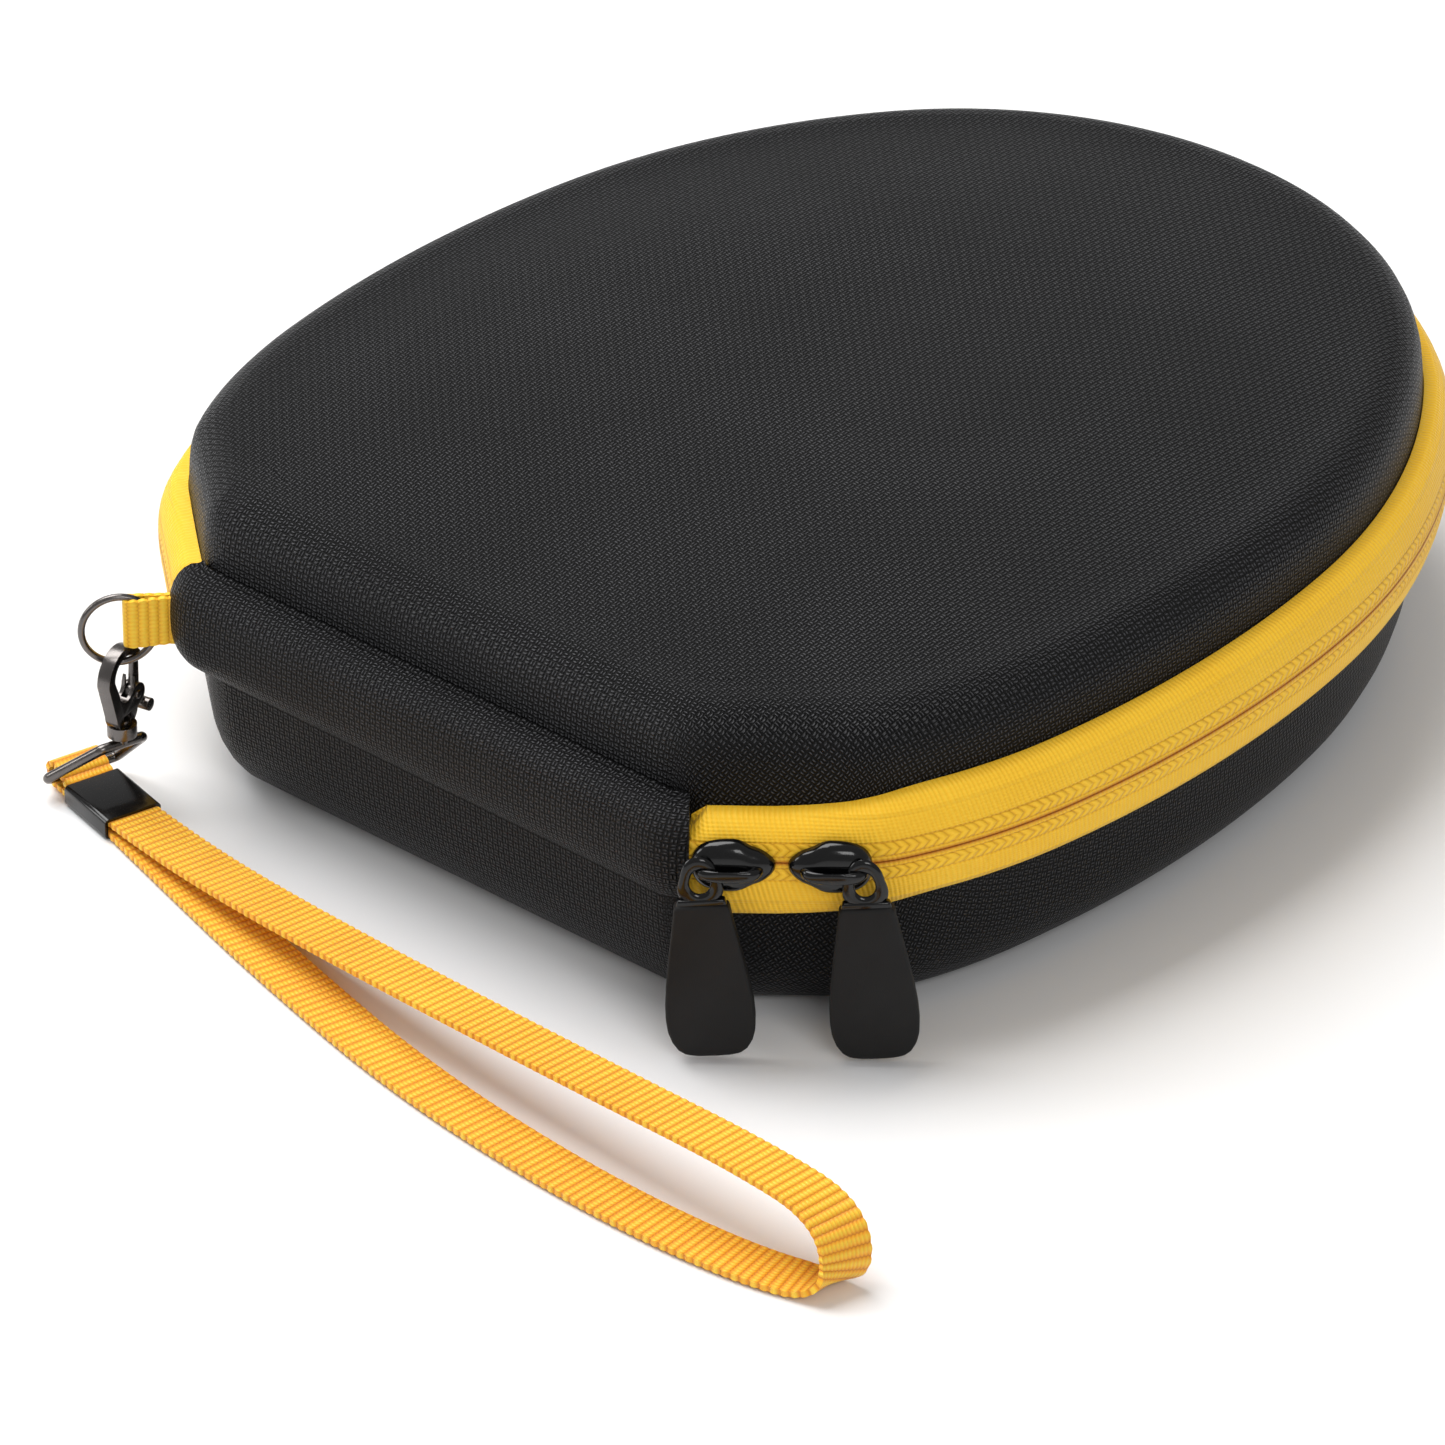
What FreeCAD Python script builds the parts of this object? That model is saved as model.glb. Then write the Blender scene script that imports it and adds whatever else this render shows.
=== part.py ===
import FreeCAD, Part
import math
import os
from FreeCAD import Vector

# Headphone carrying case: a hard moulded clamshell with a zip round three sides.
# All sizes are in millimetres. The working frame has the outer face of the hinge
# spine at x = 0, the round nose at +X, the middle of the case at y = 0 and the floor
# at z = 0. Parts are moved at export so that the case is centred on the origin.

# ---------------------------------------------------------------- driving sizes
zip_height = 38.0            # the line where the two zip tapes meet, above the floor
lid_height = 29.0            # top of the crowned lid above the zip line

# Outline of the zip line: a straight hinge, a small corner, a straight chamfer,
# then arcs of growing and shrinking radius round to the nose. Radius and turn of each.
hinge_corner_radius = 13.0
hinge_corner_turn = 40.0
chamfer_length = 26.0
side_arcs = [(28.0, 24.0), (112.0, 17.0), (241.0, 18.0), (143.0, 29.0), (89.0, 52.0)]

shell_inset = 6.5            # moulded shell's wall, inside the zip line
shell_corner_radius = 15.0
shell_wall = 3.5
shell_bottom_round = 11.0
lid_top_round = 8.5
lid_crown_radius = 1050.0
lining = 0.8                 # fleece glued inside the shells

tape_face_inset = 0.6        # zip tape's outer face at the zip line
tape_edge_inset = 3.0        # and at its sewn edge, because the tape bulges outwards
tape_reach = 9.8             # from the zip line to the tape's sewn edge
tape_thickness = 0.9
zip_gap = 0.35               # half of the gap between the two halves of the case

spine_thickness = 1.6
spine_reach = 10.2

strap_width = 10.0
strap_thickness = 1.3

# ---------------------------------------------------------------- outline
half_turn = math.radians(hinge_corner_turn)


def outline_half(inset, corner):
    """Edges of the -Y half as (kind, start, middle, end), from the hinge to the nose."""
    extra = corner - (hinge_corner_radius - inset)
    trim = extra * math.tan(half_turn / 2)
    runs = [("arc", corner, hinge_corner_turn), ("line", chamfer_length - trim, 0.0)]
    runs += [("arc", radius - inset, turn) for radius, turn in side_arcs]
    heading = -math.pi / 2
    x = inset
    y = 0.0
    edges = []
    for kind, size, turn in runs:
        if kind == "line":
            x2 = x + size * math.cos(heading)
            y2 = y + size * math.sin(heading)
            edges.append((kind, (x, y), None, (x2, y2)))
        else:
            turn = math.radians(turn)
            cx = x - size * math.sin(heading)
            cy = y + size * math.cos(heading)
            middle = heading + turn / 2
            heading += turn
            xm = cx + size * math.sin(middle)
            ym = cy - size * math.cos(middle)
            x2 = cx + size * math.sin(heading)
            y2 = cy - size * math.cos(heading)
            edges.append((kind, (x, y), (xm, ym), (x2, y2)))
        x = x2
        y = y2
    shift = -y
    return [(kind, moved(a, shift), moved(m, shift), moved(b, shift)) for kind, a, m, b in edges]


def moved(point, dy):
    return None if point is None else (point[0], point[1] + dy)


def corner_at(inset):
    return max(hinge_corner_radius - inset, 4.0)


def outline_wire(inset, z, corner=None):
    """The closed outline at a height, set in from the zip line by the inset."""
    half = outline_half(inset, corner if corner else corner_at(inset))
    edges = []
    for side in (1, -1):
        for kind, a, m, b in half:
            start = Vector(a[0], side * a[1], z)
            end = Vector(b[0], side * b[1], z)
            if kind == "line":
                edges.append(Part.LineSegment(start, end).toShape())
            else:
                middle = Vector(m[0], side * m[1], z)
                edges.append(Part.Arc(start, middle, end).toShape())
    first = half[0][1]
    hinge = Part.LineSegment(Vector(first[0], first[1], z), Vector(first[0], -first[1], z))
    edges.append(hinge.toShape())
    return Part.Wire(Part.__sortEdges__(edges))


def prism(inset, low, high, corner=None):
    wire = outline_wire(inset, low, corner)
    return Part.Face(wire).extrude(Vector(0, 0, high - low))


def band(outer, inner):
    """A ring between two stacks of outlines, each a list of (inset, z)."""
    skins = []
    for stack in (outer, inner):
        wires = [outline_wire(inset, z) for inset, z in stack]
        skins.append(Part.makeLoft(wires, True, True))
    return skins[0].cut(skins[1])


seam = outline_half(0.0, hinge_corner_radius)[0][3]
seam_x = seam[0]
seam_y = -seam[1]
nose_x = outline_half(0.0, hinge_corner_radius)[-1][3][0]
# Outward direction at the +Y seam, where the webbing tab leaves the case.
seam_out = Vector(math.cos(math.pi - half_turn), math.sin(math.pi - half_turn), 0)


def seam_frame(side, along, out):
    """A point near a seam: along the chamfer towards the nose, and out from the case."""
    x = seam_x + along * math.sin(half_turn) + out * seam_out.x
    y = seam_y + along * math.cos(half_turn) + out * seam_out.y
    return Vector(x, side * y, 0)


def hinge_region():
    """Upright prism over the stretch between the two seams, where the spine sits."""
    points = [
        seam_frame(-1, 0, 14), seam_frame(-1, 0, -14),
        seam_frame(1, 0, -14), seam_frame(1, 0, 14),
        Vector(-60, seam_y, 0), Vector(-60, -seam_y, 0)]
    wire = Part.makePolygon(points + [points[0]])
    return Part.Face(wire).extrude(Vector(0, 0, 120))


def at_zip(offset):
    return zip_height + offset


# ---------------------------------------------------------------- moulded shells
def lowest_edges(shape):
    low = shape.BoundBox.ZMin
    return [e for e in shape.Edges if e.BoundBox.ZMax < low + 0.01]


def base_block(inset, corner, floor, top, rounding):
    block = prism(inset, floor, top, corner)
    return block.makeFillet(rounding, lowest_edges(block))


def crown(drop):
    centre = Vector(nose_x / 2, 0, at_zip(lid_height) - drop - lid_crown_radius)
    return Part.makeSphere(lid_crown_radius, centre)


def lid_block(inset, corner, low, drop, rounding):
    block = prism(inset, low, at_zip(lid_height + 5), corner).common(crown(drop))
    rim = [e for e in block.Edges if e.BoundBox.ZMin > low + 5 and e.Length > 1
           and e.BoundBox.ZMax < at_zip(lid_height) - drop - 0.5]
    return block.makeFillet(rounding, rim)


rim_level = 5.5              # the shells' rims stand this far from the zip line
cavity_inset = shell_inset + shell_wall
cavity_corner = shell_corner_radius - shell_wall
lining_inset = cavity_inset + lining
lining_corner = cavity_corner - lining


def base_cavity(extra, top):
    return base_block(
        cavity_inset + extra, cavity_corner - extra, shell_wall + extra, top,
        shell_bottom_round - shell_wall - extra)


def lid_cavity(extra, low):
    return lid_block(
        cavity_inset + extra, cavity_corner - extra, low, shell_wall + extra,
        lid_top_round - shell_wall - extra)


def base_shell():
    rim = at_zip(-rim_level)
    outer = base_block(shell_inset, shell_corner_radius, 0.0, rim, shell_bottom_round)
    return outer.cut(base_cavity(0.0, rim + 1))


def lid_shell():
    rim = at_zip(rim_level)
    outer = lid_block(shell_inset, shell_corner_radius, rim, 0.0, lid_top_round)
    return outer.cut(lid_cavity(0.0, rim - 1))


def base_lining():
    rim = at_zip(-rim_level)
    return base_cavity(0.0, rim).cut(base_cavity(lining, rim + 1))


def lid_lining():
    rim = at_zip(rim_level)
    return lid_cavity(0.0, rim).cut(lid_cavity(lining, rim - 1))


# ---------------------------------------------------------------- zip and seams
def tape(side):
    """One zip tape, bulging from its sewn edge out to the zip line."""
    levels = [(tape_edge_inset, tape_reach), (1.2, 5.0), (tape_face_inset, zip_gap)]
    outer = [(inset, at_zip(side * z)) for inset, z in levels]
    inner = [(inset + tape_thickness, z) for inset, z in outer]
    ring = band(outer, inner)
    return ring.cut(hinge_region())


def coil(side):
    """The row of coil teeth along the inside of a tape's free edge."""
    low = at_zip(side * zip_gap)
    high = at_zip(side * 2.0)
    inset = tape_face_inset + tape_thickness + 0.25
    outer = [(inset, low), (inset, high)]
    inner = [(inset + 1.7, low), (inset + 1.7, high)]
    return band(outer, inner).cut(hinge_region())


def binding(side):
    """Woven binding that covers the sewn edge of shell and tape on the inside."""
    low = at_zip(side * 3.2)
    high = at_zip(side * (rim_level - 0.05))
    outer = [(4.4, low), (4.4, high)]
    inner = [(cavity_inset + 0.6, low), (cavity_inset + 0.6, high)]
    return band(outer, inner)


def spine_half(side):
    """Half of the fabric spine that carries the hinge fold at the zip line."""
    levels = [(1.5, spine_reach), (0.35, 5.0), (0.0, zip_gap)]
    outer = [(inset, at_zip(side * z)) for inset, z in levels]
    inner = [(inset + spine_thickness, z) for inset, z in outer]
    return band(outer, inner).common(hinge_region())


# ---------------------------------------------------------------- mesh pocket in the lid
pocket_edge_x = 112.0
pocket_level = 9.0


def pocket_net():
    """Net stretched across the hinge half of the lid's hollow."""
    net = prism(lining_inset + 0.4, at_zip(pocket_level), at_zip(pocket_level + 0.6), lining_corner - 0.4)
    keep = Part.makeBox(pocket_edge_x, 400, 80, Vector(0, -200, 0))
    return net.common(keep)


def pocket_elastic():
    """Elastic hem along the pocket's open edge."""
    hem = prism(
        lining_inset + 0.4, at_zip(pocket_level - 1.2), at_zip(pocket_level + 1.8), lining_corner - 0.4)
    keep = Part.makeBox(2.4, 400, 80, Vector(pocket_edge_x, -200, 0))
    return hem.common(keep)


# ---------------------------------------------------------------- zip sliders and pulls
slider_length = 14.4
slider_half_height = 5.0
plate_thickness = 1.8
slider_centres = (7.6, 24.1)       # along the chamfer from the -Y seam
slider_noses = (1, -1)             # which way each slider's nose points
plate_face = 0.3 - tape_face_inset
bridge_length = 11.0
bridge_rise = 3.4
tunnel_rise = 2.4


def place(shape, along, out, z, side=-1):
    """Puts a shape drawn with x along the chamfer, y outwards and z up on the case."""
    axis_x = Vector(math.sin(half_turn), side * math.cos(half_turn), 0)
    axis_y = Vector(seam_out.x, side * seam_out.y, 0)
    origin = seam_frame(side, along, out)
    matrix = FreeCAD.Matrix(
        axis_x.x, axis_y.x, 0, origin.x,
        axis_x.y, axis_y.y, 0, origin.y,
        0, 0, 1, z,
        0, 0, 0, 1)
    return shape.transformGeometry(matrix)


def upright_plate(points, low, high):
    """A plate with its outline in x and z and its thickness along y."""
    wire = Part.makePolygon([Vector(x, low, z) for x, z in points + [points[0]]])
    return Part.Face(wire).extrude(Vector(0, high - low, 0))


def slider_body(nose):
    """Winged top plate, raised bridge for the pull, web and inner guide plate."""
    half = slider_length / 2
    outline = [
        (-half, 4.0), (-half + 3.6, slider_half_height), (1.5, 4.5), (5.2, 2.4),
        (half, 1.0), (half, -1.0), (5.2, -2.4), (1.5, -4.5),
        (-half + 3.6, -slider_half_height), (-half, -4.0)]
    outline = [(nose * x, z) for x, z in outline]
    plate = upright_plate(outline, 0, plate_thickness)
    front = [e for e in plate.Edges if e.BoundBox.YMin > plate_thickness - 0.01]
    plate = plate.makeChamfer(0.6, front)
    rear = -bridge_length / 2 - nose * 0.7
    bridge = Part.makeBox(
        bridge_length, bridge_rise + 0.2, 2.0, Vector(rear, plate_thickness - 0.2, -1.0))
    top = [e for e in bridge.Edges if e.BoundBox.YMin > plate_thickness + bridge_rise - 0.1]
    bridge = bridge.makeFillet(0.6, top)
    tunnel = Part.makeBox(
        bridge_length - 3.0, tunnel_rise, 3.0,
        Vector(rear + (1.7 if nose < 0 else 1.3), plate_thickness, -1.5))
    web = Part.makeBox(3.0, 5.6, 0.4, Vector(-1.5, -5.4, -0.2))
    guide = Part.makeBox(6.0, 1.0, 3.1, Vector(-3.0, -5.4, -2.9))
    return plate.fuse([bridge.cut(tunnel), web, guide]).removeSplitter()


link_wire = 0.65             # radius of the pull's wire loop
link_offset = 5.8            # the loop hangs round the bridge's rear leg
link_top = 1.9
link_drop = 7.6
pivot_out = plate_thickness + tunnel_rise / 2
tag_length = 30.4
pull_lean = 4.0              # both pulls hang a little askew


def pipe(points, radius, rounding, closed=False):
    """Round wire through corner points, its corners bent to arcs of one radius."""
    return sweep(route_wire(points, rounding, closed), radius)


def route_wire(points, rounding, closed):
    count = len(points)
    edges = []
    first = None
    last = None
    inner = range(count) if closed else range(1, count - 1)
    starts = []
    for i in inner:
        before = points[i - 1]
        here = points[i]
        after = points[(i + 1) % count]
        back = (before - here).normalize()
        on = (after - here).normalize()
        turn = math.pi - back.getAngle(on)
        reach = rounding * math.tan(turn / 2)
        start = here + back * reach
        end = here + on * reach
        inward = (back + on).normalize()
        middle = here + inward * (rounding / math.cos(turn / 2) - rounding)
        starts.append((start, middle, end))
    for i, (start, middle, end) in enumerate(starts):
        if i:
            edges.append(Part.LineSegment(last, start).toShape())
        elif closed:
            first = start
        else:
            edges.append(Part.LineSegment(points[0], start).toShape())
        edges.append(Part.Arc(start, middle, end).toShape())
        last = end
    edges.append(Part.LineSegment(last, first if closed else points[-1]).toShape())
    return Part.Wire(edges)


def sweep(path, radius):
    start = path.Edges[0].Vertexes[0].Point
    direction = path.Edges[0].tangentAt(path.Edges[0].FirstParameter)
    ring = Part.Wire(Part.Circle(start, direction, radius).toShape())
    return path.makePipeShell([ring], True, False)


def pull_link(nose):
    """Wire loop round the rear leg of the slider's bridge, its bar moulded into the tag."""
    near = -nose * link_offset
    points = [
        Vector(near - 2.8, 0, link_top), Vector(near + 2.8, 0, link_top),
        Vector(near + 3.8, 0, -link_drop), Vector(near - 3.8, 0, -link_drop)]
    loop = pipe(points, link_wire, 1.5, True)
    loop.rotate(Vector(near, 0, 0), Vector(0, 1, 0), -pull_lean)
    return loop


def pull_tag(nose):
    """Rubber tag moulded on the link: narrow at the top, widest two thirds down."""
    near = -nose * link_offset
    top = -link_drop + 1.4
    bottom = top - tag_length
    half_widths = [(top, 4.9), (top - 10, 6.6), (top - 20, 7.6), (bottom + 4, 6.9)]
    right = [(near + w, z) for z, w in half_widths] + [(near + 4.6, bottom)]
    left = [(near - w, z) for z, w in half_widths] + [(near - 4.6, bottom)]
    tag = upright_plate(right + left[::-1], -1.4, 1.4)
    sides = [e for e in tag.Edges if abs(e.BoundBox.YLength - 2.8) < 0.01]
    tag = tag.makeFillet(2.0, [e for e in sides if e.BoundBox.ZMax < bottom + 5])
    tag = tag.makeChamfer(0.5, [e for e in tag.Edges if e.BoundBox.YLength < 0.01])
    tag.rotate(Vector(near, 0, 0), Vector(0, 1, 0), -pull_lean)
    return tag.cut(pull_link(nose))


# ---------------------------------------------------------------- webbing tab and ring
tab_low = -5.9
tab_high = 3.0
tab_reach = 8.3
tab_layer = 1.0
tab_half = 1.95              # half of the folded tab's thickness
ring_wire = 0.65
ring_radius = 6.65
ring_out = 9.0
ring_drop = -2.6


def ring_tab():
    """Short loop of webbing, sewn into the seam and folded round the ring."""
    fold = tab_reach - tab_half
    outer = tab_section(tab_half, fold)
    inner = tab_section(tab_half - tab_layer, fold)
    height = tab_high - tab_low
    loop = Part.Face(outer).extrude(Vector(0, 0, height))
    gap = Part.Face(inner).extrude(Vector(0, 0, height))
    gap.translate(Vector(0, 1.0, 0))
    block = Part.makeBox(10, 10, height, Vector(-5, fold - 9.95 + 1.0, 0))
    gap = gap.common(block).fuse(Part.Face(inner).extrude(Vector(0, 0, height)))
    stitched = Part.makeBox(2 * tab_half, 1.0, height, Vector(-tab_half, 0.1, 0))
    loop = loop.cut(gap).fuse(stitched).removeSplitter()
    return place(loop, 0.0, 0.0, at_zip(tab_low), side=1)


def tab_section(half, fold):
    low = 0.1
    edges = [
        Part.LineSegment(Vector(-half, low, 0), Vector(half, low, 0)).toShape(),
        Part.LineSegment(Vector(half, low, 0), Vector(half, fold, 0)).toShape(),
        Part.Arc(Vector(half, fold, 0), Vector(0, fold + half, 0), Vector(-half, fold, 0)).toShape(),
        Part.LineSegment(Vector(-half, fold, 0), Vector(-half, low, 0)).toShape()]
    return Part.Wire(edges)


def tab_ring():
    ring = Part.makeTorus(ring_radius, ring_wire, Vector(0, 0, 0), Vector(1, 0, 0))
    return place(ring, 0.0, ring_out, at_zip(ring_drop), side=1)


# ---------------------------------------------------------------- lobster clasp
# Drawn with x across the hook, y through its thickness and z up, its swivel axis
# on z = 0 and the inside of the hook's crown on the ring's lowest point.
clasp_turn = 52.0            # the clasp's plane, turned from the ring's about the upright
hook_height = 16.4           # swivel end to the top of the hook
hook_half = 5.6
hook_thickness = 2.6
gate_pin = (-3.6, 5.2)       # pin of the gate, across and up
pin_radius = 0.8
clasp_crown = 1.6            # metal above the ring's wire at the hook's crown
ring_play = 0.65             # room between the ring's wire and the crown


def ring_bottom():
    point = seam_frame(1, 0.0, ring_out)
    return Vector(point.x, point.y, at_zip(ring_drop - ring_radius))


def clasp_place(shape):
    bottom = ring_bottom()
    shape.rotate(Vector(0, 0, 0), Vector(0, 0, 1), 90 + 90 - hinge_corner_turn + clasp_turn)
    shape.translate(bottom + Vector(0, 0, ring_wire + ring_play + clasp_crown - hook_height))
    return shape


def oval(half, low, high, y0, y1):
    """A plate with a half-round top and a narrower half-round bottom."""
    foot = half * 0.62
    top = high - half
    base = low + foot
    edges = [
        Part.LineSegment(Vector(foot, y0, base), Vector(half, y0, top)).toShape(),
        Part.Arc(Vector(half, y0, top), Vector(0, y0, high), Vector(-half, y0, top)).toShape(),
        Part.LineSegment(Vector(-half, y0, top), Vector(-foot, y0, base)).toShape(),
        Part.Arc(Vector(-foot, y0, base), Vector(0, y0, low), Vector(foot, y0, base)).toShape()]
    return Part.Face(Part.Wire(edges)).extrude(Vector(0, y1 - y0, 0))


def clasp_body():
    """Pear-shaped hook with a gap for the gate, a slotted heel and a swivel collar."""
    half = hook_thickness / 2
    blank = oval(hook_half, 0.0, hook_height, -half, half)
    window = oval(hook_half - 2.0, 5.6, hook_height - clasp_crown, -half - 1, half + 1)
    mouth = Part.makeBox(4, 8, 6.6, Vector(-hook_half - 1.2, -4, 6.4))
    body = blank.cut(window).cut(mouth)
    slot = Part.makeBox(5.4, 1.2, 8.0, Vector(-hook_half - 0.6, -0.6, 2.9))
    heel = Part.Face(Part.Wire(Part.Circle(
        Vector(gate_pin[0], -half, gate_pin[1]), Vector(0, 1, 0), 2.2).toShape()))
    heel = heel.extrude(Vector(0, hook_thickness, 0))
    collar = Part.makeCylinder(2.7, 2.4, Vector(0, 0, -1.6))
    bore = Part.makeCylinder(1.15, 6.0, Vector(0, 0, -2.2))
    head_room = Part.makeCylinder(1.75, 2.4, Vector(0, 0, 0.5))
    pin_hole = Part.makeCylinder(
        pin_radius, 6, Vector(gate_pin[0], -3, gate_pin[1]), Vector(0, 1, 0))
    body = body.fuse([heel, collar]).cut(slot).cut(bore).cut(head_room).cut(pin_hole)
    return clasp_place(body.removeSplitter())


def clasp_gate():
    """Lever that shuts the hook, with its thumb knob below the pin."""
    x, z = gate_pin
    boss = Part.makeCylinder(1.75, 1.0, Vector(x, -0.5, z), Vector(0, 1, 0))
    arm_top = 12.5
    arm_points = [
        (x - 1.5, z + 0.4), (x + 0.6, z + 0.8), (-hook_half + 2.0, arm_top), (-hook_half + 0.4, arm_top)]
    arm = upright_plate(arm_points, -0.5, 0.5)
    tail_points = [(x - 1.2, z - 1.0), (x - 0.2, z - 1.7), (x - 3.0, z - 4.4), (x - 4.2, z - 3.4)]
    tail = upright_plate(tail_points, -0.5, 0.5)
    knob = Part.makeCylinder(1.2, 2.8, Vector(x - 3.7, -1.4, z - 4.1), Vector(0, 1, 0))
    hole = Part.makeCylinder(pin_radius + 0.05, 4, Vector(x, -2, z), Vector(0, 1, 0))
    gate = boss.fuse([arm, tail, knob]).cut(hole)
    return clasp_place(gate.removeSplitter())


def clasp_pin():
    length = hook_thickness + 0.5
    pin = Part.makeCylinder(
        pin_radius, length, Vector(gate_pin[0], -length / 2, gate_pin[1]), Vector(0, 1, 0))
    return clasp_place(pin)


# ---------------------------------------------------------------- swivel eye and strap
ferrule_centre = (-8.5, 65.7)
strap_start = Vector(-0.25, -0.97, 0).normalize()
ferrule_length = 14.0
ferrule_height = 4.0
across = Vector(-strap_start.y, strap_start.x, 0)


def swivel_point():
    return clasp_place(Part.makeSphere(0.1)).BoundBox.Center


eye_wire = 0.95
eye_reach = ferrule_length / 2 + 4.4
eye_level = 3.4
eye_bar = Vector(*ferrule_centre, eye_level) - strap_start * eye_reach


def swivel_eye():
    """Headed post in the clasp's collar and the eye that the strap's end loop goes through."""
    top = swivel_point()
    post = Part.makeCylinder(1.05, 4.4, top + Vector(0, 0, -3.3))
    head = Part.makeCylinder(1.6, 1.0, top + Vector(0, 0, 0.75))
    half = strap_width / 2 + 2.8
    hub = top + Vector(0, 0, -3.6)
    left = eye_bar - across * half
    right = eye_bar + across * half
    shoulder = hub + Vector(0, 0, 0.2)
    points = [shoulder - across * 4.5, left, right, shoulder + across * 4.5]
    loop = pipe(points, eye_wire, 1.2, True)
    return post.fuse([head, loop]).removeSplitter()


def box_along(length, width, low, high, centre):
    """A box lying along the strap's first direction."""
    corner = centre - strap_start * (length / 2) - across * (width / 2)
    points = [
        corner, corner + strap_start * length,
        corner + strap_start * length + across * width, corner + across * width]
    flat = [Vector(p.x, p.y, low) for p in points]
    return Part.Face(Part.makePolygon(flat + [flat[0]])).extrude(Vector(0, 0, high - low))


def ferrule():
    """Folded metal sleeve that clamps both ends of the webbing."""
    centre = Vector(*ferrule_centre, 0)
    outer = box_along(ferrule_length, strap_width + 1.6, 0.0, ferrule_height, centre)
    long_edges = [e for e in outer.Edges if abs(e.Length - ferrule_length) < 0.01]
    outer = outer.makeFillet(0.9, long_edges)
    inner = box_along(ferrule_length + 2, strap_width + 0.2, 0.6, ferrule_height - 0.6, centre)
    return outer.cut(inner)


def end_loop():
    """Webbing from inside the ferrule, round the eye's bar and back into the ferrule."""
    bend = eye_wire + 0.3 + strap_thickness / 2
    lower = 0.62 + strap_thickness / 2
    upper = ferrule_height / 2 + 0.05 + strap_thickness / 2
    mouth = ferrule_length / 2 + 1.0
    points = [
        Vector(0, 0, upper), Vector(mouth, 0, upper),
        Vector(eye_reach - 0.9, 0, eye_level + bend), Vector(eye_reach + bend, 0, eye_level + bend),
        Vector(eye_reach + bend, 0, eye_level - bend), Vector(eye_reach - 0.9, 0, eye_level - bend),
        Vector(mouth, 0, lower), Vector(0, 0, lower)]
    path = route_wire(points, bend - 0.02, False)
    half = strap_width / 2
    low = upper - strap_thickness / 2
    high = upper + strap_thickness / 2
    section = Part.makePolygon([
        Vector(0, -half, low), Vector(0, half, low), Vector(0, half, high), Vector(0, -half, high),
        Vector(0, -half, low)])
    loop = path.makePipeShell([section], True, False)
    back = strap_start.negative()
    matrix = FreeCAD.Matrix(
        back.x, -back.y, 0, ferrule_centre[0],
        back.y, back.x, 0, ferrule_centre[1],
        0, 0, 1, 0,
        0, 0, 0, 1)
    loop.transformShape(matrix)
    return loop


# Route of the wrist loop: out of the ferrule on top, down to the fold at its far end,
# and back along the floor into the ferrule below. Chosen by hand, x, y and z.
strap_route = [
    (-9.4, 62.3, 2.70), (-13.8, 44.0, 3.6), (-19.5, 14.0, 6.6), (-25.0, -26.0, 10.4),
    (-29.0, -70.0, 13.4), (-31.0, -106.0, 15.2), (-32.6, -128.0, 14.2), (-34.6, -131.0, 0.95),
    (-40.0, -112.0, 0.95), (-41.0, -78.0, 0.95), (-36.5, -34.0, 0.95), (-26.0, 8.0, 0.95),
    (-17.0, 38.0, 0.95), (-9.4, 62.3, 0.95)]


def strap_path():
    """Straight runs joined by tangent arcs, each arc as large as its two runs allow."""
    points = [Vector(*p) for p in strap_route]
    edges = []
    radii = []
    last = points[0]
    for before, here, after in zip(points, points[1:], points[2:]):
        back = before - here
        on = after - here
        reach = 0.45 * min(back.Length, on.Length)
        turn = math.pi - back.getAngle(on)
        radius = reach / math.tan(turn / 2)
        back.normalize()
        on.normalize()
        start = here + back * reach
        end = here + on * reach
        inward = (back + on).normalize()
        middle = here + inward * (radius / math.cos(turn / 2) - radius)
        edges.append(Part.LineSegment(last, start).toShape())
        edges.append(Part.Arc(start, middle, end).toShape())
        radii.append(round(radius, 1))
        last = end
    edges.append(Part.LineSegment(last, points[-1]).toShape())
    return Part.Wire(edges), radii


def strap():
    """The wrist loop: flat webbing swept along the route, its width kept level."""
    path, radii = strap_path()
    start = path.Edges[0].Vertexes[0].Point
    along = path.Edges[0].tangentAt(path.Edges[0].FirstParameter)
    wide = across * (strap_width / 2)
    thick = along.cross(across).normalize() * (strap_thickness / 2)
    corners = [start - wide - thick, start + wide - thick, start + wide + thick, start - wide + thick]
    section = Part.makePolygon(corners + [corners[0]])
    maker = Part.BRepOffsetAPI.MakePipeShell(path)
    maker.setBiNormalMode(across)
    maker.add(section)
    maker.build()
    maker.makeSolid()
    solid = maker.shape()
    print("strap arc radii", radii)
    print("strap length %.1f" % path.Length, "volume %.0f against %.0f" % (
        solid.Volume, path.Length * strap_width * strap_thickness))
    return solid


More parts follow.
